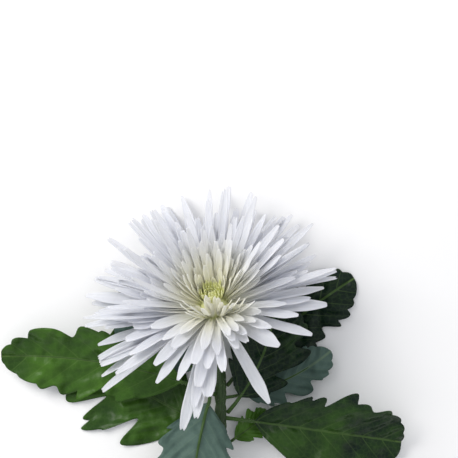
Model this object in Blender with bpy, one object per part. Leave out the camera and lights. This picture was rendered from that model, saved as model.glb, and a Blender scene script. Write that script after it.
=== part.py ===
"""A cut spider chrysanthemum lying on a table: head, green calyx, leafy stem.

Metres, +Z up. The stem runs along -Y from the head to its cut end, and the table is z = 0.
Places are worked out from the middle of the head, which is HEAD in the part's own frame.
"""

import math
import random

import bmesh
import bpy
from mathutils import Vector

MM = 0.001
SEAT_GAP = 0.3 * MM

# The head
HEAD = Vector((6.0, 77.7, 34.4)) * MM
FACE_TILT = math.radians(40)
FACE_TURN = math.radians(8)
CORE_RADIUS = 8.5 * MM
CORE_BOTTOM = -5.2 * MM
CORE_TOP = 7.0 * MM
CORE_SIDES = 14
OUTER_ROOT = (6.4 * MM, -3.2 * MM)
INNER_ROOT = (4.6 * MM, 5.2 * MM)
GOLDEN_ANGLE = math.pi * (3 - math.sqrt(5))

# White ray florets, counted from the outermost
FLORETS = 190
LONGEST = 60 * MM
SHORTEST = 17 * MM
SHORTENING = 3.0
LENGTH_CROWN = 0.9
LENGTH_RANGE = (1.04, 0.62)
WIDEST = 6.6 * MM
WIDTH_OF_INNER = 3.5 * MM
WIDTH_RANGE = (0.85, 1.12)
BLADE_THICKNESS = 1.1 * MM
KEEL_SHARE = 0.65
LOWEST_LEAN = math.radians(98)
FACE_SAG = math.radians(19)
INNER_LEAN = math.radians(22)
CLUMPS = 11
CLUMPING = 0.07
ANGLE_SCATTER = 0.09
LEAN_SCATTER = math.radians(5)
OUTER_CURL = math.radians(8)
INNER_CURL = math.radians(-16)
CURL_SCATTER = math.radians(11)
SWAY = 0.14
ROLL_SCATTER = math.radians(26)
FLORET_SEED = 11
FLORET_STEPS = 16

# Width of a floret at a share of its length, as a share of its full width
FLORET_WIDTHS = ((0.0, 0.42), (0.28, 0.84), (0.72, 1.0), (0.92, 0.8))

# The near side, towards the stem, where the florets part round a gap and are set down one by one.
# For each: where its tip lies from the middle of the head seen from above, in mm, its lean and curl
# in degrees, its width in mm, and its rank from the outermost
NEAR_SIDE = 0.04
NEAR_TURN = math.radians(2)
NEAR_ROLL = 0.25
AIM_ROUNDS = 30
AIM_LIMIT = 0.3
NEAR_FLORETS = (
    (-67, 5, 92, 6, 7.0, 0.05), (-64, 1, 96, 6, 6.6, 0.05), (-60, -3, 92, 4, 6.6, 0.10),
    (-52, -6, 86, 6, 6.6, 0.20), (-60, -20, 99, 6, 6.0, 0.00), (-60, -27, 100, 4, 6.0, 0.00),
    (-59, -30, 100, 6, 6.2, 0.00), (-58, -36, 106, 6, 6.0, 0.00), (-50, -34, 98, 8, 6.0, 0.10),
    (-58, -44, 108, 8, 6.0, 0.00), (-42, -10, 84, 12, 7.0, 0.25), (-46, -17, 90, 8, 6.6, 0.15),
    (-43, -24, 92, 6, 6.6, 0.20), (-30, -29, 90, 14, 7.2, 0.30), (-29, -38, 96, 10, 6.6, 0.20),
    (-18, -36, 90, 8, 5.8, 0.30), (-32, -10, 76, 10, 6.4, 0.35), (-26, -16, 74, 12, 6.4, 0.40),
    (-21, -20, 72, 14, 6.4, 0.45), (-17, -13, 62, 16, 6.0, 0.50), (-16, -62, 112, 6, 6.4, 0.00),
    (-10, -50, 106, 8, 6.0, 0.10), (-9, -56, 110, 6, 6.4, 0.00), (-3, -45, 98, 8, 8.0, 0.15),
    (-8, -40, 94, 8, 6.6, 0.20), (-3, -30, 78, 16, 7.8, 0.40), (-10, -28, 76, 10, 6.2, 0.40),
    (5, -31, 84, -10, 5.4, 0.35), (2, -23, 66, 20, 5.4, 0.50), (-5, -20, 62, 16, 5.6, 0.50),
    (50, -14, 96, 4, 6.8, 0.05), (58, 1, 94, 2, 6.8, 0.05), (50, 4, 90, 4, 6.4, 0.10),
    (43, -4, 86, 4, 6.6, 0.20), (37, 2, 80, 4, 6.0, 0.30), (33, -19, 86, 4, 8.4, 0.30),
    (29, -10, 76, 4, 6.8, 0.35), (24, -2, 70, 4, 5.4, 0.45), (21, -7, 68, 4, 5.8, 0.45),
    (28, -48, 106, 6, 6.6, 0.10), (12, -20, 68, 10, 5.2, 0.50), (17, -17, 72, 8, 5.4, 0.50),
    (13, -1, 50, 6, 5.2, 0.60), (17, 1, 56, 4, 4.8, 0.60), (15, -6, 56, 6, 5.4, 0.60),
    (12, -11, 56, 8, 5.6, 0.55), (16, -13, 64, 6, 5.6, 0.50), (10, -16, 60, 10, 5.4, 0.55),
    (8, -13, 54, 8, 4.8, 0.60),
)

# Narrow florets that rise from the gap and bend over the eye
HOOKED = 20
HOOKED_SEED = 29
HOOKED_ROOTS = math.radians(52)
HOOKED_FAN = 1.3
HOOKED_LEANS = (math.radians(22), math.radians(48))
HOOKED_CURL = math.radians(-38)
HOOKED_LENGTH = 23 * MM
HOOKED_WIDTH = 2.7 * MM

# Height above the table that the hidden florets are bent up to, behind the head and at its sides
BEHIND_LEVEL = 0.2 * MM
SIDE_LEVEL = 6.5 * MM
BEHIND_REACH = 22 * MM
SIDE_START = 40 * MM
FLORET_EASING = 2 * MM

# Young yellow-green florets in the middle
YOUNG = 24
YOUNG_CORE_RADIUS = 3.9 * MM
YOUNG_BASE = CORE_TOP + SEAT_GAP
YOUNG_LONGEST = 9.5 * MM
YOUNG_SHORTEST = 4.5 * MM
YOUNG_WIDTH = 1.5 * MM
YOUNG_SIDES = 12
YOUNG_DOME = ((0.0, 1.0), (0.35, 0.95), (0.65, 0.6))
YOUNG_RING_SHARE = 0.74
YOUNG_WAIST = 0.6
YOUNG_ROOT_WIDTH = 0.7
YOUNG_HOOK = 0.28
YOUNG_LEANS = (math.radians(2), math.radians(12))

# Calyx of green bracts under the head
CALYX_RADIUS = 7.0 * MM
CALYX_DEPTH = 8.0 * MM
CALYX_PROFILE = ((0.0, 0.86), (0.25, 0.95), (0.6, 0.66), (0.85, 0.44), (1.0, 0.36))
CALYX_SIDES = 16
BRACT_ROWS = 3
BRACTS_IN_ROW = 9
BRACT_LENGTH = 7.5 * MM
BRACT_WIDTH = 3.4 * MM
BRACT_THICKNESS = 0.9 * MM
BRACT_RINGS = ((0.0, 0.6), (0.55, 1.0))
BRACT_TIP_SPREAD = 0.92

# For the first and the last row of bracts: how deep the root lies on the calyx and how far from its
# middle, and how much of its length the bract rises and how far it spreads
BRACT_DEPTHS = (0.62, 0.92)
BRACT_ROOT_RADII = (4.2 * MM, 2.4 * MM)
BRACT_RISES = (0.62, 0.85)
BRACT_SPREADS = (3.6 * MM, 4.4 * MM)

# Stem
STEM_LENGTH_BELOW_HEAD = 215 * MM
STEM_TOP_RADIUS = 2.3 * MM
STEM_END_RADIUS = 3.1 * MM
STEM_SIDES = 12
STEM_STATIONS = 26
STEM_CREASE = math.radians(50)
RIB = 0.07
CUT_SLOPE = 0.9
NODE_SWELL = 0.22
NODE_REACH = 4 * MM
TOP_FLARE = 0.35
TOP_FLARE_REACH = 0.06
NECK_REACH = 28 * MM
CLOSEST_STATIONS = 0.006

# Leaves. "below" is how far down the stem from the head the leaf grows, in mm, and "heading" its
# direction seen from above, in degrees from +X, which changes by "turn" on the way to the tip.
# "rise" and "end" are its slope at the stem and at the tip, and "lies" the height that its rib
# keeps above the table, in mm. "roll" turns it about its rib: 180 shows the underside. "cut" is how
# deep the sinuses are, against SINUSES.
LEAVES = (
    {"name": "leaf_1", "below": 46, "heading": 158, "turn": 24, "length": 114, "half": 20,
     "rise": -14, "end": -8, "lies": 9, "roll": -22, "fold": 12, "cut": 0.6},
    {"name": "leaf_2", "below": 41, "heading": 48, "turn": -16, "length": 90, "half": 18,
     "rise": -40, "end": 0, "lies": 0.9, "roll": 0, "fold": 6, "cut": 0.9},
    {"name": "leaf_3", "below": 37, "heading": 158, "turn": -34, "length": 70, "half": 13,
     "rise": -30, "end": 0, "lies": 5, "roll": 180, "fold": 4, "cut": 0.5},
    {"name": "leaf_4", "below": 42, "heading": 254, "turn": 10, "length": 66, "half": 21,
     "rise": 42, "end": -30, "lies": 1, "roll": 180, "fold": 10, "cut": 0.4},
    {"name": "leaf_5", "below": 59, "heading": -6, "turn": -4, "length": 94, "half": 25,
     "rise": 18, "end": -26, "lies": 6, "roll": 28, "fold": 12, "cut": 0.5},
    {"name": "leaf_6", "below": 63, "heading": 163, "turn": -28, "length": 78, "half": 32,
     "rise": -46, "end": 0, "lies": 0.9, "roll": 0, "fold": 1, "cut": 1.15},
    {"name": "leaf_7", "below": 48, "heading": 8, "turn": 32, "length": 60, "half": 12,
     "rise": -10, "end": -4, "lies": 6, "roll": 180, "fold": 6, "cut": 0.9},
    {"name": "leaf_8", "below": 72, "heading": 34, "turn": 4, "length": 27, "half": 8,
     "rise": -10, "end": 10, "lies": 3, "roll": 0, "fold": 10, "cut": 0.6},
    {"name": "leaf_9", "below": 98, "heading": 200, "turn": 10, "length": 88, "half": 23,
     "rise": -30, "end": 0, "lies": -0.2, "roll": 0, "fold": 0, "cut": 0.8},
    {"name": "leaf_10", "below": 124, "heading": -20, "turn": -10, "length": 92, "half": 24,
     "rise": -30, "end": 0, "lies": -0.2, "roll": 0, "fold": 0, "cut": 0.6},
    {"name": "leaf_11", "below": 55, "heading": 50, "turn": 34, "length": 66, "half": 20,
     "rise": 30, "end": -20, "lies": 6, "roll": 10, "fold": 8, "cut": 0.8},
)
LEAF_THICKNESS = 0.7 * MM
LEAF_STATIONS = 24
LEAF_EASING = 3 * MM
PETIOLE_SHARE = 0.15
PETIOLE_HALF = 1.1 * MM
PETIOLE_THICKNESS = 1.9 * MM
RIB_DEPTH = 0.9 * MM
FORWARD_SLANT = 0.55
OVAL_SKEW = 0.8
OVAL_FULLNESS = 0.62
BLADE_START = 0.06
TOOTH = 0.07
WAVES = 2.5
WAVE_HEIGHT = 0.06
ACROSS_LEAF = (-1.0, -0.5, 0.0, 0.5, 1.0)

# Sinuses between the lobes: their place along the blade, their reach and their depth, and how far
# those of the two sides are shifted against each other
SINUSES = ((0.30, 0.055, 0.50), (0.58, 0.05, 0.42))
SINUS_SHIFT = 0.035

WHITE = (0.86, 0.86, 0.88, 1)
YELLOW_GREEN = (0.52, 0.58, 0.12, 1)
CALYX_GREEN = (0.10, 0.19, 0.05, 1)
STEM_GREEN = (0.13, 0.24, 0.06, 1)
LEAF_GREEN = (0.05, 0.14, 0.03, 1)
LEAF_UNDERSIDE = (0.22, 0.32, 0.24, 1)


def clear_scene():
    for old in list(bpy.data.objects):
        bpy.data.objects.remove(old)


def paint(name, colour, roughness):
    material = bpy.data.materials.new(name)
    material.use_nodes = True
    shader = material.node_tree.nodes["Principled BSDF"]
    shader.inputs["Base Color"].default_value = colour
    shader.inputs["Roughness"].default_value = roughness
    shader.inputs["Metallic"].default_value = 0
    return material


def mix(a, b, share):
    return a + (b - a) * share


def smooth_step(low, high, value):
    share = min(1, max(0, (value - low) / (high - low)))
    return share * share * (3 - 2 * share)


def kept_above(height, level, easing):
    """A height that never falls below a level, and eases off as it nears it."""
    above = height - level
    return level + 0.5 * (above + math.sqrt(above * above + easing * easing))


# The head's own directions: out of its face, and two across it

def head_directions():
    out = Vector((
        -math.sin(FACE_TURN) * math.sin(FACE_TILT),
        math.cos(FACE_TURN) * math.sin(FACE_TILT),
        math.cos(FACE_TILT),
    ))
    across = Vector((math.cos(FACE_TURN), math.sin(FACE_TURN), 0))
    return out, across, out.cross(across)


OUT, ACROSS, BACK = head_directions()


def round_the_face(angle):
    return ACROSS * math.cos(angle) + BACK * math.sin(angle)


def circle(middle, radius, sides):
    return [middle + round_the_face(2 * math.pi * j / sides) * radius for j in range(sides)]


# Closed bodies from rings of points

def close_rings(mesh, rings, tip=None, upper_sides=0):
    """Skins the rings one after another and closes both ends, the last on a tip if one is given.

    The first upper_sides sides are split on one diagonal and the rest on the other, so that the
    two faces of a waved blade fold alike.
    """
    rows = [[mesh.verts.new(point) for point in ring] for ring in rings]
    sides = len(rows[0])
    for near, far in zip(rows, rows[1:]):
        for i in range(sides):
            j = (i + 1) % sides
            if i < upper_sides:
                mesh.faces.new((near[i], near[j], far[j]))
                mesh.faces.new((near[i], far[j], far[i]))
            else:
                mesh.faces.new((near[i], near[j], far[i]))
                mesh.faces.new((near[j], far[j], far[i]))
    mesh.faces.new(list(reversed(rows[0])))
    if tip is None:
        mesh.faces.new(rows[-1])
        return
    point = mesh.verts.new(tip)
    for i in range(sides):
        mesh.faces.new((rows[-1][i], rows[-1][(i + 1) % sides], point))


def object_of(mesh, name, material, crease=None):
    bmesh.ops.recalc_face_normals(mesh, faces=mesh.faces)
    bmesh.ops.triangulate(mesh, faces=mesh.faces)
    data = bpy.data.meshes.new(name)
    mesh.to_mesh(data)
    mesh.free()
    data.materials.append(material)
    if crease is not None:
        data.shade_smooth()
        data.set_sharp_from_angle(angle=crease)
    made = bpy.data.objects.new(name, data)
    bpy.context.scene.collection.objects.link(made)
    return made


def fuse(body, pieces):
    """Joins the pieces and the body they grow from into one solid, by one union."""
    group = bpy.data.collections.new(body.name + "_pieces")
    bpy.context.scene.collection.children.link(group)
    for piece in pieces:
        bpy.context.scene.collection.objects.unlink(piece)
        group.objects.link(piece)
    union = body.modifiers.new("union", "BOOLEAN")
    union.operation = "UNION"
    union.solver = "MANIFOLD"
    union.operand_type = "COLLECTION"
    union.collection = group
    bpy.context.view_layer.update()
    graph = bpy.context.evaluated_depsgraph_get()
    joined = bpy.data.meshes.new_from_object(body.evaluated_get(graph))
    body.modifiers.remove(union)
    body.data = joined
    for piece in pieces:
        bpy.data.objects.remove(piece)
    bpy.data.collections.remove(group)
    return body


# Ray florets

def floret_traits():
    """One entry for each floret, outermost first, of its place round the face, lean and size."""
    draw = random.Random(FLORET_SEED)
    traits = []
    for i in range(FLORETS):
        rank = i / (FLORETS - 1)
        spread = math.acos(mix(math.cos(LOWEST_LEAN), math.cos(INNER_LEAN), rank))
        length = mix(SHORTEST, LONGEST, (1 - rank ** SHORTENING) ** LENGTH_CROWN)
        angle = i * GOLDEN_ANGLE + draw.uniform(-ANGLE_SCATTER, ANGLE_SCATTER)
        angle += CLUMPING * (1 - rank) * math.sin(CLUMPS * angle)
        sag = -FACE_SAG * math.sin(angle) * (1 - 0.5 * rank)
        looseness = 1 - 0.6 * rank
        trait = {
            "rank": rank,
            "root": rank,
            "angle": angle,
            "lean": spread + sag + draw.uniform(-LEAN_SCATTER, LEAN_SCATTER) * looseness,
            "curl": mix(OUTER_CURL, INNER_CURL, rank) + draw.uniform(-CURL_SCATTER, CURL_SCATTER),
            "sway": draw.uniform(-SWAY, SWAY) * looseness,
            "roll": draw.uniform(-ROLL_SCATTER, ROLL_SCATTER) * looseness,
            "length": length * mix(*LENGTH_RANGE, min(1, 3 * rank) * draw.random() ** 2),
            "width": mix(WIDEST, WIDTH_OF_INNER, rank) * draw.uniform(*WIDTH_RANGE),
        }
        if not on_near_side(trait):
            traits.append(trait)
    return traits


def on_near_side(trait):
    return -math.sin(trait["angle"] + NEAR_TURN) > NEAR_SIDE


def near_traits():
    """The florets of the near side, which part round a gap and are set down one by one."""
    traits = []
    for x, y, lean, curl, width, rank in NEAR_FLORETS:
        tip = Vector((x, y)) * MM
        trait = {
            "rank": rank,
            "root": rank / 2,
            "angle": math.atan2(y, x),
            "lean": math.radians(lean),
            "curl": math.radians(curl),
            "sway": 0,
            "roll": NEAR_ROLL * math.sin(x * y),
            "length": tip.length,
            "width": width * MM,
        }
        for _ in range(AIM_ROUNDS):
            aim(trait, HEAD.xy + tip)
        traits.append(trait)
    return traits


def aim(trait, target):
    """Turns a floret and changes its length, so that its tip nears the target seen from above."""
    line = floret_line(trait)
    tip = line[-1][0].xy
    seen = tip - line[0][0].xy
    miss = target - tip
    turn = seen.normalized().cross(miss) / (trait["length"] * math.sin(trait["lean"]))
    trait["length"] *= 1 + max(-AIM_LIMIT, min(AIM_LIMIT, miss.dot(seen) / seen.length_squared))
    trait["angle"] += max(-AIM_LIMIT, min(AIM_LIMIT, turn))


def hooked_traits():
    """The narrow florets on the near side of the eye, which rise from the gap and bend over it."""
    draw = random.Random(HOOKED_SEED)
    traits = []
    for i in range(HOOKED):
        aside = mix(-1, 1, (i + 0.5) / HOOKED)
        inner = i % 3
        traits.append({
            "rank": 0.9,
            "root": 0.15 + 0.2 * inner,
            "angle": -math.pi / 2 + HOOKED_ROOTS * aside + draw.uniform(-0.12, 0.12),
            "lean": mix(*HOOKED_LEANS, abs(aside)) * draw.uniform(0.75, 1.25),
            "curl": HOOKED_CURL * (1 - abs(aside)) * draw.uniform(0.4, 1.3),
            "sway": HOOKED_FAN * aside + draw.uniform(-0.3, 0.3),
            "roll": draw.uniform(-0.6, 0.6),
            "length": HOOKED_LENGTH * (1 - 0.14 * inner) * draw.uniform(0.7, 1.15),
            "width": HOOKED_WIDTH * draw.uniform(0.75, 1.2),
        })
    return traits


def above_the_table(point):
    """Bends what would reach the table up along it, less low at the sides than behind the head."""
    aside = smooth_step(BEHIND_REACH, SIDE_START, abs(point.x - HEAD.x))
    level = mix(BEHIND_LEVEL, SIDE_LEVEL, aside)
    return Vector((point.x, point.y, kept_above(point.z, level, FLORET_EASING)))


def floret_line(trait):
    """The floret's middle line as (point, direction, sideways) along its length."""
    root_radius = mix(OUTER_ROOT[0], INNER_ROOT[0], trait["root"])
    root_height = mix(OUTER_ROOT[1], INNER_ROOT[1], trait["root"])
    point = HEAD + OUT * root_height + round_the_face(trait["angle"]) * root_radius
    points = [point]
    step = trait["length"] / FLORET_STEPS
    for k in range(FLORET_STEPS):
        share = (k + 0.5) / FLORET_STEPS
        lean = trait["lean"] + trait["curl"] * share
        outward = round_the_face(trait["angle"] + trait["sway"] * share)
        point = point + (OUT * math.cos(lean) + outward * math.sin(lean)) * step
        points.append(point)
    points = [above_the_table(p) for p in points]
    round_axis = round_the_face(trait["angle"] + math.pi / 2)
    line = []
    for k, here in enumerate(points):
        ahead = points[min(FLORET_STEPS, k + 1)]
        behind = points[max(0, k - 1)]
        direction = (ahead - behind).normalized()
        level = (round_axis - direction * round_axis.dot(direction)).normalized()
        face = direction.cross(level)
        sideways = level * math.cos(trait["roll"]) + face * math.sin(trait["roll"])
        line.append((here, direction, sideways))
    return line


def keeled(point, direction, sideways, half):
    """Three corners of a blade that is flat on its inner face and keeled on its outer one."""
    face = direction.cross(sideways)
    top = point + face * (BLADE_THICKNESS * (1 - KEEL_SHARE))
    corners = [
        top + sideways * half,
        top - sideways * half,
        point - face * (BLADE_THICKNESS * KEEL_SHARE),
    ]
    for corner in corners:
        corner.z = max(corner.z, 0)
    return corners


def floret_blade(trait, material, index):
    """A narrow blade with its root sunk in the core, widest past its middle and pointed."""
    line = floret_line(trait)
    rings = [
        keeled(*line[round(share * FLORET_STEPS)], 0.5 * trait["width"] * width)
        for share, width in FLORET_WIDTHS
    ]
    mesh = bmesh.new()
    close_rings(mesh, rings, tip=line[-1][0])
    return object_of(mesh, f"floret_{index}", material)


def flower_core(material):
    """A ball cut level below and above, which the floret roots sink into."""
    mesh = bmesh.new()
    heights = [mix(CORE_BOTTOM, CORE_TOP, k / 4) for k in range(5)]
    rings = [
        circle(HEAD + OUT * height, math.sqrt(CORE_RADIUS ** 2 - height ** 2), CORE_SIDES)
        for height in heights
    ]
    close_rings(mesh, rings)
    return object_of(mesh, "ray_florets", material)


def make_ray_florets():
    white = paint("white_floret", WHITE, 0.55)
    traits = floret_traits() + near_traits() + hooked_traits()
    blades = [floret_blade(trait, white, i) for i, trait in enumerate(traits)]
    fuse(flower_core(white), blades)


# Young florets in the eye

def young_blade(index, material):
    """A short three-sided floret that leans out from the dome and hooks back in at its end."""
    rank = math.sqrt((index + 0.5) / YOUNG)
    outward = round_the_face(index * GOLDEN_ANGLE)
    sideways = OUT.cross(outward)
    lean = mix(*YOUNG_LEANS, rank)
    length = mix(YOUNG_SHORTEST, YOUNG_LONGEST, rank)
    direction = OUT * math.cos(lean) + outward * math.sin(lean)
    hooked = (direction - outward * YOUNG_HOOK).normalized()
    face = sideways.cross(direction)
    root = HEAD + OUT * (YOUNG_BASE + SEAT_GAP)
    root += outward * (YOUNG_CORE_RADIUS * YOUNG_RING_SHARE * rank)
    waist = root + direction * (length * YOUNG_WAIST)
    rings = []
    for middle, size in ((root, YOUNG_ROOT_WIDTH), (waist, 1.0)):
        half = YOUNG_WIDTH / 2 * size
        rings.append([
            middle + sideways * half + face * half * 0.5,
            middle - sideways * half + face * half * 0.5,
            middle - face * half,
        ])
    mesh = bmesh.new()
    close_rings(mesh, rings, tip=waist + hooked * (length * (1 - YOUNG_WAIST)))
    return object_of(mesh, f"young_{index}", material)


def make_young_florets():
    green = paint("young_floret", YELLOW_GREEN, 0.6)
    base = HEAD + OUT * YOUNG_BASE
    rings = [
        circle(base + OUT * (YOUNG_CORE_RADIUS * height), YOUNG_CORE_RADIUS * width, YOUNG_SIDES)
        for height, width in YOUNG_DOME
    ]
    mesh = bmesh.new()
    close_rings(mesh, rings)
    dome = object_of(mesh, "young_florets", green)
    fuse(dome, [young_blade(i, green) for i in range(YOUNG)])


# Calyx

CALYX_TOP = HEAD + OUT * (CORE_BOTTOM - SEAT_GAP)


def bract(row, place, material):
    """One green scale, its root sunk in the cup and its end standing clear of it."""
    down = row / (BRACT_ROWS - 1)
    angle = 2 * math.pi * (place + row / BRACT_ROWS) / BRACTS_IN_ROW
    outward = round_the_face(angle)
    sideways = round_the_face(angle + math.pi / 2)
    root = CALYX_TOP - OUT * (CALYX_DEPTH * mix(*BRACT_DEPTHS, down))
    root += outward * mix(*BRACT_ROOT_RADII, down)
    rise = OUT * (BRACT_LENGTH * mix(*BRACT_RISES, down))
    spread = outward * mix(*BRACT_SPREADS, down)
    rings = []
    for share, width in BRACT_RINGS:
        middle = root + (rise + spread) * share
        half = BRACT_WIDTH / 2 * width
        rings.append([
            middle + sideways * half,
            middle + outward * BRACT_THICKNESS,
            middle - sideways * half,
            middle - outward * (BRACT_THICKNESS * 0.4),
        ])
    mesh = bmesh.new()
    close_rings(mesh, rings, tip=root + rise + spread * BRACT_TIP_SPREAD)
    return object_of(mesh, f"bract_{row}_{place}", material)


def make_calyx():
    green = paint("calyx", CALYX_GREEN, 0.6)
    rings = [
        circle(CALYX_TOP - OUT * (CALYX_DEPTH * depth), CALYX_RADIUS * width, CALYX_SIDES)
        for depth, width in CALYX_PROFILE
    ]
    mesh = bmesh.new()
    close_rings(mesh, rings)
    cup = object_of(mesh, "calyx", green)
    fuse(cup, [bract(row, k, green) for row in range(BRACT_ROWS) for k in range(BRACTS_IN_ROW)])


# Stem

STEM_TOP = CALYX_TOP - OUT * (CALYX_DEPTH + SEAT_GAP)
NECK_PULL = STEM_TOP - OUT * NECK_REACH
LOW_PULL = Vector((HEAD.x + 6 * MM, HEAD.y - 86 * MM, 5 * MM))
CUT_END = Vector((HEAD.x - 5 * MM, HEAD.y - STEM_LENGTH_BELOW_HEAD, STEM_END_RADIUS * 1.04))


def stem_point(share):
    """Point on the stem's middle line, from its top at 0 to its cut end at 1."""
    left = 1 - share
    return (
        STEM_TOP * left ** 3
        + NECK_PULL * 3 * left ** 2 * share
        + LOW_PULL * 3 * left * share ** 2
        + CUT_END * share ** 3
    )


def stem_direction(share):
    step = 0.002
    return (stem_point(min(1, share + step)) - stem_point(max(0, share - step))).normalized()


def stem_share_at(below_head):
    """Share of the stem's line at which it is that far below the head along Y."""
    low, high = 0.0, 1.0
    for _ in range(40):
        middle = (low + high) / 2
        if HEAD.y - stem_point(middle).y < below_head:
            low = middle
        else:
            high = middle
    return (low + high) / 2


def stem_radius(share):
    """Radius of the stem, which flares under the head and swells where a leaf grows."""
    swell = TOP_FLARE * smooth_step(TOP_FLARE_REACH, 0, share)
    here = HEAD.y - stem_point(share).y
    for leaf in LEAVES:
        away = abs(here - leaf["below"] * MM)
        swell = max(swell, NODE_SWELL * smooth_step(NODE_REACH, 0, away))
    return mix(STEM_TOP_RADIUS, STEM_END_RADIUS, share) * (1 + swell)


def stem_ring(share):
    """Twelve points round the stem, by turns on a rib and in the furrow beside it."""
    direction = stem_direction(share)
    side = direction.cross(Vector((0, 0, 1))).normalized()
    up = side.cross(direction)
    ring = []
    for j in range(STEM_SIDES):
        angle = 2 * math.pi * j / STEM_SIDES
        radius = stem_radius(share) * (1 + RIB * (1 if j % 2 else -1))
        ring.append(stem_point(share) + (side * math.cos(angle) + up * math.sin(angle)) * radius)
    return ring


def make_stem():
    green = paint("stem", STEM_GREEN, 0.5)
    stations = [k / (STEM_STATIONS - 1) for k in range(STEM_STATIONS)]
    stations += [stem_share_at(leaf["below"] * MM) for leaf in LEAVES]
    kept = [0.0]
    for share in sorted(stations):
        if share - kept[-1] > CLOSEST_STATIONS:
            kept.append(share)
    rings = [stem_ring(share) for share in kept]
    for point in rings[-1]:
        point.y -= CUT_SLOPE * (CUT_END.z - point.z)
    mesh = bmesh.new()
    close_rings(mesh, rings)
    for vertex in mesh.verts:
        vertex.co.z = max(vertex.co.z, 0)
    object_of(mesh, "stem", green, STEM_CREASE)


# Leaves

def lobed_half_width(share, cut, side):
    """Half width of the blade at a share of its length: an oval, cut by two sinuses into lobes."""
    oval = math.sin(math.pi * share ** OVAL_SKEW) ** OVAL_FULLNESS
    for place, reach, depth in SINUSES:
        oval *= 1 - cut * depth * math.exp(-((share - place - side * SINUS_SHIFT) / reach) ** 2)
    return oval


def rib_points(leaf):
    """Points on the leaf's rib, from the stem's surface to the tip."""
    share = stem_share_at(leaf["below"] * MM)
    heading = math.radians(leaf["heading"])
    outward = Vector((math.cos(heading), math.sin(heading), 0))
    along = stem_direction(share)
    slant = abs(outward.dot(along)) + 0.5 * abs(math.sin(math.radians(leaf["rise"])))
    outward = (outward - along * outward.dot(along)).normalized()
    clear = stem_radius(share) + SEAT_GAP + PETIOLE_HALF * slant
    point = stem_point(share) + outward * clear
    points = [point]
    for k in range(LEAF_STATIONS):
        share = (k + 0.5) / LEAF_STATIONS
        heading = math.radians(leaf["heading"] + leaf["turn"] * share)
        rise = math.radians(leaf["rise"] * (1 - share) ** 2 + leaf["end"] * share ** 2)
        level = Vector((math.cos(heading), math.sin(heading), 0))
        point = point + (level * math.cos(rise) + Vector((0, 0, math.sin(rise)))) * (
            leaf["length"] * MM / LEAF_STATIONS)
        points.append(point)
    return [
        Vector((p.x, p.y, kept_above(p.z, leaf["lies"] * MM, LEAF_EASING))) for p in points
    ]


def leaf_line(leaf):
    """The leaf's rib as (point, direction, sideways), turned about itself past the petiole."""
    points = rib_points(leaf)
    line = []
    for k, here in enumerate(points):
        ahead = points[min(LEAF_STATIONS, k + 1)]
        behind = points[max(0, k - 1)]
        direction = (ahead - behind).normalized()
        level = Vector((0, 0, 1)).cross(direction).normalized()
        face = direction.cross(level)
        roll = math.radians(leaf["roll"]) * smooth_step(0, PETIOLE_SHARE * 1.5, k / LEAF_STATIONS)
        line.append((here, direction, level * math.cos(roll) + face * math.sin(roll)))
    return line


def leaf_ring(leaf, station, rib, direction, sideways):
    """Points over and then back under the blade at one station, petiole or toothed and waved blade."""
    share = station / LEAF_STATIONS
    blade = max(0, (share - PETIOLE_SHARE) / (1 - PETIOLE_SHARE))
    grown = smooth_step(0, BLADE_START, blade)
    tooth = 1 + TOOTH * (1 if station % 2 else -1)
    thick = mix(PETIOLE_THICKNESS, LEAF_THICKNESS, grown)
    fold = math.sin(math.radians(leaf["fold"]))
    face = direction.cross(sideways)
    upper, lower = [], []
    for across in ACROSS_LEAF:
        oval = lobed_half_width(blade, leaf["cut"], math.copysign(1, across))
        half = mix(PETIOLE_HALF, max(PETIOLE_HALF, leaf["half"] * MM * oval * tooth), grown)
        out = abs(across) * half
        phase = WAVES * 2 * math.pi * share + across + leaf["below"]
        lift = fold * out + WAVE_HEIGHT * half * math.sin(phase) * across ** 2
        point = rib + sideways * (across * half) + face * (lift * grown)
        point += direction * (FORWARD_SLANT * (out - PETIOLE_HALF) * grown)
        rib_depth = 0 if across else RIB_DEPTH * grown * (1 - blade)
        high = point + face * (0.5 * thick)
        low = point - face * (0.5 * thick + rib_depth)
        if high.z < low.z:
            high.z = max(high.z, 0)
            low.z = max(low.z, high.z + 0.8 * thick)
        else:
            low.z = max(low.z, 0)
            high.z = max(high.z, low.z + 0.8 * thick)
        upper.append(high)
        lower.append(low)
    return upper + lower[::-1]


def make_leaf(leaf, material):
    """One lobed, toothed blade with its rib and petiole, a solid a little thicker than life."""
    line = leaf_line(leaf)
    rings = [leaf_ring(leaf, k, *station) for k, station in enumerate(line[:-1])]
    tip = line[-1][0]
    tip.z = max(tip.z, LEAF_THICKNESS / 2)
    mesh = bmesh.new()
    close_rings(mesh, rings, tip=tip, upper_sides=len(ACROSS_LEAF) - 1)
    object_of(mesh, leaf["name"], material)


def make_leaves():
    upper = paint("leaf", LEAF_GREEN, 0.45)
    under = paint("leaf_underside", LEAF_UNDERSIDE, 0.6)
    for leaf in LEAVES:
        make_leaf(leaf, under if leaf["roll"] == 180 else upper)


def main():
    clear_scene()
    make_ray_florets()
    make_young_florets()
    make_calyx()
    make_stem()
    make_leaves()


main()
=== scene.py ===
"""A cut spider chrysanthemum lying on a pale table, dressed over its CAD frame.

The file follows the flower as it grew: stem, leaves, calyx, ray florets, young florets and down,
then the table, the light and the camera. Metres, +Z up, and the table is z = 0.
"""

import math
import random

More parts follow.
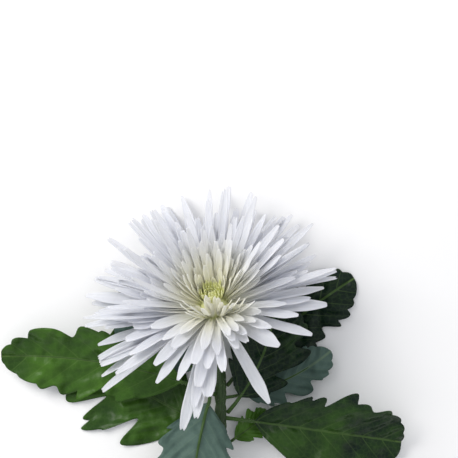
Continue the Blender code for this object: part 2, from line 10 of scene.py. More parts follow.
import bmesh
import bpy
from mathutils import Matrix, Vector


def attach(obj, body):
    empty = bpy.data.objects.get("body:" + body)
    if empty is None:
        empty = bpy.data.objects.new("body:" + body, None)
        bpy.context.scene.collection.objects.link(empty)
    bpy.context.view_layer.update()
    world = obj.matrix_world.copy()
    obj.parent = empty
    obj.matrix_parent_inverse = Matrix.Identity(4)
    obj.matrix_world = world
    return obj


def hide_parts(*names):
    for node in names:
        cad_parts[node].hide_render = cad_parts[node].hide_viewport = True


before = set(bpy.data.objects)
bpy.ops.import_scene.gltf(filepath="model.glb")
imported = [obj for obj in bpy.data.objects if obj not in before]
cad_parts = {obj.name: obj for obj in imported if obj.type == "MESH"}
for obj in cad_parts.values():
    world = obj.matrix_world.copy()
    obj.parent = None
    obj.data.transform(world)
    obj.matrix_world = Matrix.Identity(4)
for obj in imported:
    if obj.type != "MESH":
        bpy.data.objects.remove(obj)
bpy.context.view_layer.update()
MM = 0.001


# The stem: one green, six-ribbed shoot, cut on a slant 215 mm below the head. It bends as it grew,
# swells where each leaf stands, and its cut end shows a pale pith inside a ring of green.

HEAD = Vector((6.0, 77.7, 34.4)) * MM
FACE_TILT = math.radians(40)
FACE_TURN = math.radians(8)
SEAT_GAP = 0.3 * MM
CORE_BOTTOM = -5.2 * MM
CALYX_DEPTH = 8.0 * MM
STEM_LENGTH_BELOW_HEAD = 215 * MM
STEM_TOP_RADIUS = 2.3 * MM
STEM_END_RADIUS = 3.1 * MM
STEM_SIDES = 48
STEM_STATIONS = 220
RIBS = 6
RIB = 0.07
CUT_SLOPE = 0.9
NODE_SWELL = 0.22
NODE_REACH = 4 * MM
TOP_FLARE = 0.35
TOP_FLARE_REACH = 0.06
NECK_REACH = 28 * MM
LEAVES_BELOW_HEAD = [mm * MM for mm in (46, 41, 37, 42, 59, 63, 48, 72, 98, 124, 55)]
STEM_GREEN = "#22371A"
STEM_STREAK_GREEN = "#3A5426"
STEM_PITH = "#DDE2B8"
STREAK_WIDTH = 0.5 * MM
STREAK_LENGTH = 14 * MM
PITH_GRAIN = 0.4 * MM
SEAM_MERGE = 0.001 * MM


def mix(a, b, share):
    return a + (b - a) * share


def smooth_step(low, high, value):
    share = min(1, max(0, (value - low) / (high - low)))
    return share * share * (3 - 2 * share)


def linear(colour):
    """An sRGB hex colour as the linear values that a shader takes."""
    parts = [int(colour[i:i + 2], 16) / 255 for i in (1, 3, 5)]
    return [c / 12.92 if c <= 0.04045 else ((c + 0.055) / 1.055) ** 2.4 for c in parts] + [1]


def connect(tree, node, inputs):
    """Sets each named input of a node to a value or to another node's output."""
    for key, value in inputs.items():
        if isinstance(value, bpy.types.NodeSocket):
            tree.links.new(value, node.inputs[key])
        else:
            node.inputs[key].default_value = value


def add(tree, kind, inputs=None, **settings):
    """Adds a node with its settings and inputs."""
    made = tree.nodes.new("ShaderNode" + kind)
    for name, value in settings.items():
        setattr(made, name, value)
    connect(tree, made, inputs or {})
    return made


def new_material(name):
    made = bpy.data.materials.new(name)
    made.use_nodes = True
    return made, made.node_tree, made.node_tree.nodes["Principled BSDF"]


def new_piece(mesh, name, materials):
    """Makes a bmesh a smooth-shaded object at the origin."""
    data = bpy.data.meshes.new(name)
    mesh.to_mesh(data)
    mesh.free()
    data.shade_smooth()
    for made in materials:
        data.materials.append(made)
    piece = bpy.data.objects.new(name, data)
    bpy.context.scene.collection.objects.link(piece)
    return piece


def head_directions():
    """Three directions at right angles: out of the face, across it, and to its far side."""
    out = Vector((
        -math.sin(FACE_TURN) * math.sin(FACE_TILT),
        math.cos(FACE_TURN) * math.sin(FACE_TILT),
        math.cos(FACE_TILT),
    ))
    across = Vector((math.cos(FACE_TURN), math.sin(FACE_TURN), 0))
    return out, across, out.cross(across)


OUT, ACROSS, BACK = head_directions()
CALYX_TOP = HEAD + OUT * (CORE_BOTTOM - SEAT_GAP)
STEM_TOP = CALYX_TOP - OUT * (CALYX_DEPTH + SEAT_GAP)
NECK_PULL = STEM_TOP - OUT * NECK_REACH
LOW_PULL = Vector((HEAD.x + 6 * MM, HEAD.y - 86 * MM, 5 * MM))
CUT_END = Vector((HEAD.x - 5 * MM, HEAD.y - STEM_LENGTH_BELOW_HEAD, STEM_END_RADIUS * 1.04))


def stem_point(share):
    """Point on the stem's middle line, from its top at 0 to its cut end at 1."""
    left = 1 - share
    return (
        STEM_TOP * left ** 3
        + NECK_PULL * 3 * left ** 2 * share
        + LOW_PULL * 3 * left * share ** 2
        + CUT_END * share ** 3
    )


def stem_direction(share):
    step = 0.002
    return (stem_point(min(1, share + step)) - stem_point(max(0, share - step))).normalized()


def stem_share_at(below_head):
    """Share of the stem's line at which it is that far below the head along Y."""
    low, high = 0.0, 1.0
    for _ in range(40):
        middle = (low + high) / 2
        if HEAD.y - stem_point(middle).y < below_head:
            low = middle
        else:
            high = middle
    return (low + high) / 2


def stem_radius(share):
    """Radius of the stem, which flares under the head and swells where a leaf grows."""
    swell = TOP_FLARE * smooth_step(TOP_FLARE_REACH, 0, share)
    here = HEAD.y - stem_point(share).y
    for below in LEAVES_BELOW_HEAD:
        swell = max(swell, NODE_SWELL * smooth_step(NODE_REACH, 0, abs(here - below)))
    return mix(STEM_TOP_RADIUS, STEM_END_RADIUS, share) * (1 + swell)


def new_mesh(uv_name):
    mesh = bmesh.new()
    mesh.loops.layers.uv.new(uv_name)
    return mesh


def wrap_sheet(mesh, rows, columns, place):
    """Rolls a sheet into a tube, place(round, along) giving its points, and returns its caps."""
    sheet = bmesh.ops.create_grid(
        mesh, x_segments=columns, y_segments=rows, size=0.5, calc_uvs=True)
    for vertex in sheet["verts"]:
        vertex.co = place(0.5 - vertex.co.x, vertex.co.y + 0.5)
    bmesh.ops.remove_doubles(mesh, verts=sheet["verts"], dist=SEAM_MERGE)
    ends = [edge for edge in mesh.edges if edge.is_boundary]
    caps = bmesh.ops.holes_fill(mesh, edges=ends, sides=columns)["faces"]
    bmesh.ops.recalc_face_normals(mesh, faces=mesh.faces)
    return caps


def stem_skin(round_share, share):
    direction = stem_direction(share)
    side = direction.cross(Vector((0, 0, 1))).normalized()
    up = side.cross(direction)
    angle = 2 * math.pi * round_share
    radius = stem_radius(share) * (1 - RIB * math.cos(RIBS * angle))
    point = stem_point(share) + (side * math.cos(angle) + up * math.sin(angle)) * radius
    if share > 1 - 0.5 / STEM_STATIONS:
        point.y -= CUT_SLOPE * (CUT_END.z - point.z)
    point.z = max(point.z, 0)
    return point


def stem_material():
    """Living stem: a soft waxy skin with fine, paler streaks along it."""
    made, tree, shader = new_material("waxy_green_stem")
    place = add(tree, "TexCoord").outputs["Object"]
    stretch = (1 / STREAK_WIDTH, 1 / STREAK_LENGTH, 1 / STREAK_WIDTH)
    streaks = add(tree, "Mapping", {"Vector": place, "Scale": stretch}).outputs[0]
    noise = add(tree, "TexNoise", {"Vector": streaks, "Scale": 1.0, "Detail": 4}).outputs["Fac"]
    level = add(tree, "MapRange", {0: noise, 1: 0.35, 2: 0.65}).outputs[0]
    colour = add(tree, "Mix", {
        0: level, 6: linear(STEM_GREEN),
        7: linear(STEM_STREAK_GREEN)}, data_type="RGBA").outputs[2]
    bump = add(tree, "Bump", {"Height": noise, "Distance": 0.1 * MM, "Strength": 0.6}).outputs[0]
    connect(tree, shader, {
        "Base Color": colour, "Normal": bump, "Roughness": 0.48, "Specular IOR Level": 0.4})
    return made


def pith_material():
    """Freshly cut stem: moist pale pith with a darker green rind."""
    made, tree, shader = new_material("fresh_cut_pith")
    place = add(tree, "TexCoord").outputs["Object"]
    centred = add(tree, "Mapping", {"Vector": place, "Location": -CUT_END}).outputs[0]
    flat = add(tree, "Mapping", {"Vector": centred, "Scale": (1, 0, 1)}).outputs[0]
    away = add(tree, "VectorMath", {0: flat}, operation="LENGTH").outputs["Value"]
    rind = add(tree, "MapRange", {
        0: away, 1: 0.62 * STEM_END_RADIUS, 2: 0.85 * STEM_END_RADIUS}).outputs[0]
    grain = add(tree, "TexNoise", {"Vector": place, "Scale": 1 / PITH_GRAIN}).outputs["Fac"]
    colour = add(tree, "Mix", {
        0: rind, 6: linear(STEM_PITH), 7: linear(STEM_GREEN)}, data_type="RGBA").outputs[2]
    bump = add(tree, "Bump", {"Height": grain, "Distance": 0.15 * MM}).outputs[0]
    connect(tree, shader, {"Base Color": colour, "Normal": bump, "Roughness": 0.4})
    return made


stem_mesh = new_mesh("skin")
for cap in wrap_sheet(stem_mesh, STEM_STATIONS, STEM_SIDES, stem_skin):
    cap.material_index = 1
stem_green = stem_material()
stem = new_piece(stem_mesh, "stem_skin", [stem_green, pith_material()])
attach(stem, "root")
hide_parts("stem")


# The leaves: lobed and toothed blades on short stalks, thin and a little waved, puffed between
# their veins. Dark green and a little glossy above, grey-green below, with a stout rib underneath.

# Each leaf's place below the head in mm, its heading from above and how far that turns in degrees,
# its length and half width in mm, its rise at the stem and at the tip in degrees, the height that
# it lies at in mm, its roll and fold in degrees, how deep it is lobed, and how bright its green is
# painted, which is painted light and shade: lit leaves brighter, leaves in shade darker.
LEAF_TRAITS = (
    "name", "below", "heading", "turn", "length", "half", "rise", "end", "lies", "roll", "fold",
    "cut", "light")
LEAVES = [dict(zip(LEAF_TRAITS, traits)) for traits in (
    ("leaf_1", 46, 158, 24, 114, 20, -14, -8, 9, -22, 12, 0.6, 0.75),
    ("leaf_2", 41, 48, -16, 90, 18, -40, 0, 0.9, 0, 6, 0.9, -0.2),
    ("leaf_3", 37, 158, -34, 70, 13, -30, 0, 5, 180, 4, 0.5, 0.4),
    ("leaf_4", 42, 254, 10, 66, 21, 42, -30, 1, 180, 10, 0.4, 0.5),
    ("leaf_5", 59, -6, -4, 94, 25, 18, -26, 6, 28, 12, 0.5, 0.2),
    ("leaf_6", 63, 163, -28, 78, 32, -46, 0, 0.9, 0, 1, 1.15, 0.6),
    ("leaf_7", 48, 8, 32, 60, 12, -10, -4, 6, 180, 6, 0.9, 0.6),
    ("leaf_8", 72, 34, 4, 27, 8, -10, 10, 3, 0, 10, 0.6, 0.9),
    ("leaf_9", 98, 200, 10, 88, 23, -30, 0, -0.2, 0, 0, 0.8, 0.45),
    ("leaf_10", 124, -20, -10, 92, 24, -30, 0, -0.2, 0, 0, 0.6, 0.3),
    ("leaf_11", 55, 50, 34, 66, 20, 30, -20, 6, 10, 8, 0.8, -0.1),
)]
LEAF_SHEET = 0.4 * MM
LEAF_ROWS = 120
LEAF_COLUMNS = 28
LEAF_STATIONS = 24
LEAF_EASING = 3 * MM
PETIOLE_SHARE = 0.15
PETIOLE_HALF = 1.1 * MM
FORWARD_SLANT = 0.55
OVAL_SKEW = 0.8
OVAL_FULLNESS = 0.62
SINUSES = ((0.30, 0.055, 0.50), (0.58, 0.05, 0.42))
SINUS_SHIFT = 0.035
BLADE_START = 0.06
TEETH = 8
TOOTH = 0.09
TOOTH_PEAK = 0.72
TIP_CROWDING = 1.35
WAVES = 2.5
WAVE_HEIGHT = 0.06
VEIN_SPACING = 0.14
FIRST_VEIN = 0.16
VEIN_FORWARD = 0.45
VEIN_HOLLOW = 0.45 * MM
VEIN_HOLLOW_REACH = 1.3 * MM
PUFF = 0.8 * MM
PUFF_START = 3 * MM
RIB_RADII = (1.15 * MM, 0.28 * MM)
RIB_SIDES = 12
RIB_ROWS = 60
RIB_IN_STEM = 1.6 * MM
RIB_SHARE = 0.96
RIB_CLEARANCE = 0.05 * MM
SHEET_EASING = 0.3 * MM
TIP_MERGE = 0.01 * MM
UPPER_SKIN = {
    "dark": "#081F13", "bright": "#42691F", "vein": "#6A8648", "roughness": 0.34, "gloss": 0.2}
UNDER_SKIN = {
    "dark": "#465C55", "bright": "#5B736A", "vein": "#71886C", "roughness": 0.6, "gloss": 0.2}
STALK_SKIN = {
    "dark": "#263F18", "bright": "#3F5C28", "vein": "#3F5C28", "roughness": 0.5, "gloss": 0.3}
NET_CELL = 2.6 * MM
PATCH_SIZE = 20 * MM
PATCH_CONTRAST = 0.26
LEAF_GRAIN = 0.8 * MM
VEIN_RELIEF = 0.12 * MM
CRUMPLE_SIZE = 20 * MM
CRUMPLE_HEIGHT = 13 * MM


def kept_above(height, level, easing):
    """A height that never falls below a level, and eases off as it nears it."""
    above = height - level
    return level + 0.5 * (above + math.sqrt(above * above + easing * easing))


def rib_points(leaf):
    """Points on the leaf's rib, from the stem's surface to the tip."""
    share = stem_share_at(leaf["below"] * MM)
    heading = math.radians(leaf["heading"])
    outward = Vector((math.cos(heading), math.sin(heading), 0))
    along = stem_direction(share)
    slant = abs(outward.dot(along)) + 0.5 * abs(math.sin(math.radians(leaf["rise"])))
    outward = (outward - along * outward.dot(along)).normalized()
    clear = stem_radius(share) + SEAT_GAP + PETIOLE_HALF * slant
    point = stem_point(share) + outward * clear
    points = [point]
    for k in range(LEAF_STATIONS):
        share = (k + 0.5) / LEAF_STATIONS
        heading = math.radians(leaf["heading"] + leaf["turn"] * share)
        rise = math.radians(leaf["rise"] * (1 - share) ** 2 + leaf["end"] * share ** 2)
        level = Vector((math.cos(heading), math.sin(heading), 0))
        point = point + (level * math.cos(rise) + Vector((0, 0, math.sin(rise)))) * (
            leaf["length"] * MM / LEAF_STATIONS)
        points.append(point)
    return [
        Vector((p.x, p.y, kept_above(p.z, leaf["lies"] * MM, LEAF_EASING))) for p in points
    ]


def with_directions(points):
    """Each point of a line with the line's direction there."""
    last = len(points) - 1
    return [
        (here, (points[min(last, k + 1)] - points[max(0, k - 1)]).normalized())
        for k, here in enumerate(points)
    ]


def leaf_line(leaf):
    """The leaf's rib as (point, direction, sideways), turned about itself past the petiole."""
    line = []
    for k, (here, direction) in enumerate(with_directions(rib_points(leaf))):
        level = Vector((0, 0, 1)).cross(direction).normalized()
        face = direction.cross(level)
        roll = math.radians(leaf["roll"]) * smooth_step(0, PETIOLE_SHARE * 1.5, k / LEAF_STATIONS)
        line.append((here, direction, level * math.cos(roll) + face * math.sin(roll)))
    return line


def read_line(line, share):
    """Place, direction and sideways at a share of a line's length, on a smooth curve."""
    reach = min(1, max(0, share)) * (len(line) - 1)
    k = min(int(reach), len(line) - 2)
    t = reach - k
    near, far = line[k], line[k + 1]
    start = near[0]
    end = far[0]
    before = line[max(0, k - 1)][0]
    after = line[min(len(line) - 1, k + 2)][0]
    pull = (end - before) * 0.5
    push = (after - start) * 0.5
    place = (
        start * (2 * t ** 3 - 3 * t ** 2 + 1) + pull * (t ** 3 - 2 * t ** 2 + t)
        + end * (3 * t ** 2 - 2 * t ** 3) + push * (t ** 3 - t ** 2)
    )
    direction = near[1].lerp(far[1], t).normalized()
    sideways = near[2].lerp(far[2], t)
    sideways = (sideways - direction * sideways.dot(direction)).normalized()
    return place, direction, sideways


def lobed_half_width(share, cut, side):
    """Half width of the blade at a share of its length: an oval, cut by two sinuses into lobes."""
    oval = max(0, math.sin(math.pi * min(1, share) ** OVAL_SKEW)) ** OVAL_FULLNESS
    for place, reach, depth in SINUSES:
        oval *= 1 - cut * depth * math.exp(-((share - place - side * SINUS_SHIFT) / reach) ** 2)
    return oval


def saw(turns):
    """A rounded tooth, -1 to 1, that rises slowly and drops fast, as leaf teeth point forward."""
    part = turns % 1
    rise = part / TOOTH_PEAK if part < TOOTH_PEAK else (1 - part) / (1 - TOOTH_PEAK)
    return 2 * math.sin(math.pi / 2 * rise) - 1


def blade_of(share):
    return max(0, (share - PETIOLE_SHARE) / (1 - PETIOLE_SHARE))


def vein_number(blade, out, leaf):
    """Whole at each side vein, which leaves the rib and bends forward to the margin."""
    length = leaf["length"] * MM * (1 - PETIOLE_SHARE)
    back = (VEIN_FORWARD * out + 0.3 * out * out / (leaf["half"] * MM)) / length
    return (blade - back - FIRST_VEIN) / VEIN_SPACING


def blade_point(leaf, line, across, share):
    """A point of the blade's middle sheet, with its distance from the rib and its vein number."""
    rib, direction, sideways = read_line(line, share)
    blade = blade_of(share)
    grown = smooth_step(0, BLADE_START, blade)
    side = math.copysign(1, across)
    tooth = saw(TEETH * share + 0.2 * side + 0.4 * math.sin(11 * share + leaf["below"]))
    tooth *= TOOTH * (1 + 0.6 * math.sin(9 * share + leaf["below"] + side))
    widest = leaf["half"] * MM * lobed_half_width(blade, leaf["cut"], side)
    margin = smooth_step(0.45, 1, abs(across))
    widest = max(0.25 * PETIOLE_HALF * (1 - share), widest * (1 + tooth * margin))
    half = mix(0.6 * PETIOLE_HALF, widest, grown)
    out = abs(across) * half
    face = direction.cross(sideways)
    fold = math.sin(math.radians(leaf["fold"]))
    phase = WAVES * 2 * math.pi * share + across + leaf["below"]
    lift = fold * out + WAVE_HEIGHT * half * math.sin(phase) * across ** 2
    number = vein_number(blade, out, leaf)
    between = 0.5 - 0.5 * math.cos(2 * math.pi * number)
    body = smooth_step(0, PUFF_START, out) * smooth_step(1.0, 0.8, abs(across))
    lift += PUFF * (between - 0.5) * body * min(1, leaf["half"] / 18)
    lift -= VEIN_HOLLOW * math.exp(-(out / VEIN_HOLLOW_REACH) ** 2)
    point = rib + sideways * (across * half) + face * (lift * grown)
    point += direction * (FORWARD_SLANT * max(0, out - PETIOLE_HALF) * grown)
    return point, out, number


def thicken(piece, sheet):
    """Gives a piece's thin sheets their thickness, half of it to each side."""
    shell = piece.modifiers.new("sheet", "SOLIDIFY")
    shell.thickness = sheet
    shell.offset = 0
    return shell


def make_leaf(leaf, materials):
    """The blade, a thin toothed sheet with a skin above and one below, and the line of its rib."""
    line = leaf_line(leaf)
    mesh = new_mesh("blade")
    from_rib = mesh.verts.layers.float.new("from_rib")
    veins = mesh.verts.layers.float.new("veins")
    sheet = bmesh.ops.create_grid(
        mesh, x_segments=LEAF_COLUMNS, y_segments=LEAF_ROWS, size=0.5, calc_uvs=True)
    start = PETIOLE_SHARE * 0.7
    for vertex in sheet["verts"]:
        across = -2 * vertex.co.x
        along = 1 - (0.5 - vertex.co.y) ** TIP_CROWDING
        share = mix(start, 1, along)
        point, out, number = blade_point(leaf, line, across, share)
        point.z = kept_above(point.z, LEAF_SHEET * 0.6, SHEET_EASING)
        vertex.co = point
        vertex[from_rib] = out / MM
        vertex[veins] = number
    bmesh.ops.remove_doubles(mesh, verts=mesh.verts, dist=TIP_MERGE)
    blade = new_piece(mesh, leaf["name"] + "_blade", materials)
    shell = thicken(blade, LEAF_SHEET)
    shell.material_offset = 1
    shell.use_even_offset = False
    return blade, line


def rib_skin(leaf, line, round_share, along):
    """A point on the stalk and midrib, round, sunk into the stem and thinning to the tip."""
    share = mix(0, RIB_SHARE, along)
    place, direction, sideways = read_line(line, share)
    if along < 0.5 / RIB_ROWS:
        place = place - direction * RIB_IN_STEM
    face = direction.cross(sideways)
    radius = mix(*RIB_RADII, along ** 0.7) * min(1, 0.55 + leaf["half"] / 45)
    sunk = radius * smooth_step(0.5, 1.3, share / PETIOLE_SHARE) * 0.95
    angle = 2 * math.pi * round_share
    ring = sideways * math.cos(angle) + face * math.sin(angle)
    point = place + ring * radius - face * sunk
    point.z = max(point.z, RIB_CLEARANCE)
    return point


def rib_tube(leaf, line, material):
    mesh = new_mesh("blade")
    wrap_sheet(mesh, RIB_ROWS, RIB_SIDES, lambda turn, along: rib_skin(leaf, line, turn, along))
    return new_piece(mesh, leaf["name"] + "_rib", [material])


def leaf_material(name, skin, light):
    """Leaf skin: a waxy sheet with pale veins, a fine net between them and a mottled green,
    whose brightness for each leaf is painted light and shade.
    """
    made, tree, shader = new_material(name)
    place = add(tree, "TexCoord").outputs["Object"]
    out = add(tree, "Attribute", attribute_name="from_rib").outputs["Fac"]
    number = add(tree, "Attribute", attribute_name="veins").outputs["Fac"]
    shifted = add(tree, "Math", {0: number, 1: 0.5}, operation="ADD").outputs[0]
    turned = add(tree, "Math", {0: shifted}, operation="FRACT").outputs[0]
    centred = add(tree, "Math", {0: turned, 1: 0.5}, operation="SUBTRACT").outputs[0]
    apart = add(tree, "Math", {0: centred}, operation="ABSOLUTE").outputs[0]
    side = add(tree, "MapRange", {0: apart, 1: 0.008, 2: 0.042, 3: 1, 4: 0}).outputs[0]
    fade = add(tree, "MapRange", {0: out, 1: 1, 2: 18, 3: 0.3, 4: 0.05}).outputs[0]
    side = add(tree, "Math", {0: side, 1: fade}, operation="MULTIPLY").outputs[0]
    rib = add(tree, "MapRange", {0: out, 1: 0.2, 2: 0.85, 3: 0.6, 4: 0}).outputs[0]
    net = add(tree, "TexVoronoi", {
        "Vector": place, "Scale": 1 / NET_CELL}, feature="DISTANCE_TO_EDGE").outputs[0]
    net = add(tree, "MapRange", {0: net, 1: 0.0, 2: 0.09, 3: 0.09, 4: 0}).outputs[0]
    veins = add(tree, "Math", {0: side, 1: rib}, operation="MAXIMUM").outputs[0]
    veins = add(tree, "Math", {0: veins, 1: net}, operation="MAXIMUM").outputs[0]
    patches = add(tree, "TexNoise", {
        "Vector": place, "Scale": 1 / PATCH_SIZE, "Detail": 4}).outputs["Fac"]
    # Painted light and shade: each leaf's light value lifts its whole green where that leaf is lit
    # and lowers it where it lies in shade.
    tone = add(tree, "MapRange", {
        0: patches, 1: 0.35, 2: 0.65,
        3: light - PATCH_CONTRAST, 4: light + PATCH_CONTRAST}).outputs[0]
    green = add(tree, "Mix", {
        0: tone, 6: linear(skin["dark"]), 7: linear(skin["bright"])}, data_type="RGBA").outputs[2]
    colour = add(tree, "Mix", {
        0: veins, 6: green, 7: linear(skin["vein"])}, data_type="RGBA").outputs[2]
    grain = add(tree, "TexNoise", {"Vector": place, "Scale": 1 / LEAF_GRAIN}).outputs["Fac"]
    height = add(tree, "Math", {
        0: veins, 1: -0.8, 2: grain}, operation="MULTIPLY_ADD").outputs[0]
    crumple = add(tree, "TexNoise", {"Vector": place, "Scale": 1 / CRUMPLE_SIZE, "Detail": 2})
    waved = add(tree, "Bump", {"Height": crumple.outputs["Fac"], "Distance": CRUMPLE_HEIGHT})
    bump = add(tree, "Bump", {
        "Height": height, "Distance": VEIN_RELIEF, "Strength": 0.7, "Normal": waved.outputs[0]})
    connect(tree, shader, {
        "Base Color": colour, "Normal": bump.outputs[0],
        "Roughness": skin["roughness"], "Specular IOR Level": skin["gloss"]})
    return made


rib_green = leaf_material("leaf_stalk_skin", STALK_SKIN, 0.5)
for leaf in LEAVES:
    above = leaf_material(leaf["name"] + "_waxy_upper_skin", UPPER_SKIN, leaf["light"])
    below = leaf_material(leaf["name"] + "_matt_under_skin", UNDER_SKIN, leaf["light"])
    blade, rib_line = make_leaf(leaf, [above, below])
    rib = rib_tube(leaf, rib_line, rib_green)
    for piece in (blade, rib):
        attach(piece, "root")
        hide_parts(leaf["name"])


# The calyx: a green cup of overlapping scales that holds the florets, on the top of the stem. The
# scales are leathery, each with a thin, dry, paler edge, and stand in rows like roof tiles.

CALYX_RADIUS = 7.0 * MM
CALYX_PROFILE = ((0.0, 0.86), (0.25, 0.95), (0.6, 0.66), (0.85, 0.44), (1.0, 0.36))
CUP_SIDES = 40
CUP_ROWS = 20
BRACT_ROWS = 4
BRACTS_IN_ROW = 11
BRACT_LENGTH = 7.5 * MM
BRACT_WIDTH = 3.6 * MM
BRACT_SHEET = 0.5 * MM
BRACT_DEPTHS = (0.62, 0.92)
BRACT_ROOT_RADII = (4.4 * MM, 2.6 * MM)
BRACT_RISES = (0.62, 0.85)
BRACT_SPREADS = (3.6 * MM, 4.4 * MM)
BRACT_BULGE = 0.5 * MM
BRACT_GRAIN = 0.7 * MM
CALYX_GREEN = "#4E6B2E"
BRACT_EDGE = "#A9AE7C"


def round_the_face(angle):
    return ACROSS * math.cos(angle) + BACK * math.sin(angle)


def read_profile(profile, share):
    """A width read off a list of (share, width) on an eased curve."""
    for (near, low), (far, high) in zip(profile, profile[1:]):
        if share <= far:
            straight = (share - near) / (far - near)
            return mix(low, high, smooth_step(near, far, share) * 0.5 + 0.5 * straight)
    return profile[-1][1]


def cup_skin(round_share, depth):
    middle = CALYX_TOP - OUT * (CALYX_DEPTH * depth)
    return middle + round_the_face(2 * math.pi * round_share) * (
        CALYX_RADIUS * read_profile(CALYX_PROFILE, depth))


def bract_material():
    """Calyx scale: leathery green, drying to thin paler edges."""
    made, tree, shader = new_material("leathery_calyx_scale")
    place = add(tree, "TexCoord").outputs["Object"]
    flat = add(tree, "UVMap", uv_map="scale").outputs[0]
    parts = add(tree, "SeparateXYZ", {0: flat})
    centred = add(tree, "Math", {0: parts.outputs[0], 1: 0.5}, operation="SUBTRACT").outputs[0]
    out = add(tree, "Math", {0: centred}, operation="ABSOLUTE").outputs[0]
    edge = add(tree, "MapRange", {0: out, 1: 0.32, 2: 0.48}).outputs[0]
    noise = add(tree, "TexNoise", {"Vector": place, "Scale": 1 / BRACT_GRAIN}).outputs["Fac"]
    worn = add(tree, "Math", {0: edge, 1: noise}, operation="MULTIPLY").outputs[0]
    colour = add(tree, "Mix", {
        0: worn, 6: linear(CALYX_GREEN), 7: linear(BRACT_EDGE)}, data_type="RGBA").outputs[2]
    bump = add(tree, "Bump", {"Height": noise, "Distance": 0.08 * MM}).outputs[0]
    connect(tree, shader, {"Base Color": colour, "Normal": bump, "Roughness": 0.55})
    return made


def place_bract(mesh, row, place):
    """One scale: a small cupped sheet, its root sunk in the cup and its tip standing clear."""
    down = row / (BRACT_ROWS - 1)
    angle = 2 * math.pi * (place + row / 2) / BRACTS_IN_ROW
    outward = round_the_face(angle)
    sideways = round_the_face(angle + math.pi / 2)
    root = CALYX_TOP - OUT * (CALYX_DEPTH * mix(*BRACT_DEPTHS, down))
    root += outward * mix(*BRACT_ROOT_RADII, down)
    rise = OUT * (BRACT_LENGTH * mix(*BRACT_RISES, down))
    spread = outward * mix(*BRACT_SPREADS, down)
    scale = bmesh.ops.create_grid(mesh, x_segments=4, y_segments=6, size=0.5, calc_uvs=True)
    for vertex in scale["verts"]:
        across = 2 * vertex.co.x
        along = vertex.co.y + 0.5
        half = BRACT_WIDTH / 2 * (math.sin(math.pi * mix(0.2, 0.93, along)) ** 0.7)
        bulge = math.sin(math.pi * along) * BRACT_BULGE
        point = root + rise * along + spread * along ** 0.8
        point += sideways * (across * half) + outward * (bulge - 0.35 * half * across * across)
        vertex.co = point


def round_off(piece):
    rounding = piece.modifiers.new("rounding", "SUBSURF")
    rounding.levels = 1
    rounding.render_levels = 1


cup_mesh = new_mesh("scale")
wrap_sheet(cup_mesh, CUP_ROWS, CUP_SIDES, cup_skin)
scale_skin = bract_material()
cup = new_piece(cup_mesh, "calyx_cup", [scale_skin])
bract_mesh = new_mesh("scale")
for row in range(BRACT_ROWS):
    for k in range(BRACTS_IN_ROW):
        place_bract(bract_mesh, row, k)
bracts = new_piece(bract_mesh, "calyx_scales", [scale_skin])
thicken(bracts, BRACT_SHEET)
round_off(bracts)
for piece in (cup, bracts):
    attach(piece, "root")
    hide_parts("calyx")


# The ray florets: more than 350 white tongues, rolled to a quill at the root and opening to a
# shallow channel with fine ridges. They grow in a spiral from a fleshy disc, the longest outside.

CORE_RADIUS = 8.5 * MM
CORE_TOP = 7.0 * MM
CORE_SUNK = 1.2 * MM
CORE_ROWS = 8
CORE_SIDES = 32
OUTER_ROOT = (6.4 * MM, -3.2 * MM)
INNER_ROOT = (4.6 * MM, 5.2 * MM)
GOLDEN_ANGLE = math.pi * (3 - math.sqrt(5))
FLORETS = 190
LONGEST = 60 * MM
SHORTEST = 17 * MM
SHORTENING = 3.0
LENGTH_CROWN = 0.9
LENGTH_RANGE = (1.04, 0.62)
WIDEST = 5.6 * MM
WIDTH_OF_INNER = 3.1 * MM
WIDTH_RANGE = (0.85, 1.12)
LOWEST_LEAN = math.radians(98)
FACE_SAG = math.radians(19)
INNER_LEAN = math.radians(22)
CLUMPS = 11
CLUMPING = 0.07
ANGLE_SCATTER = 0.09
LEAN_SCATTER = math.radians(5)
OUTER_CURL = math.radians(8)
INNER_CURL = math.radians(-16)
CURL_SCATTER = math.radians(11)
SWAY = 0.14
ROLL_SCATTER = math.radians(26)
FLORET_SEED = 11
FLORET_STEPS = 16
BEHIND_LEVEL = 0.2 * MM
SIDE_LEVEL = 6.5 * MM
BEHIND_REACH = 22 * MM
SIDE_START = 40 * MM
FLORET_EASING = 2 * MM
FLORET_WIDTHS = ((0.0, 0.42), (0.25, 0.76), (0.5, 0.92), (0.8, 1.0), (0.92, 0.92), (1.0, 0.66))
NEAR_SIDE = 0.04
NEAR_TURN = math.radians(-3)
NEAR_ROLL = 0.25
AIM_ROUNDS = 30
AIM_LIMIT = 0.3
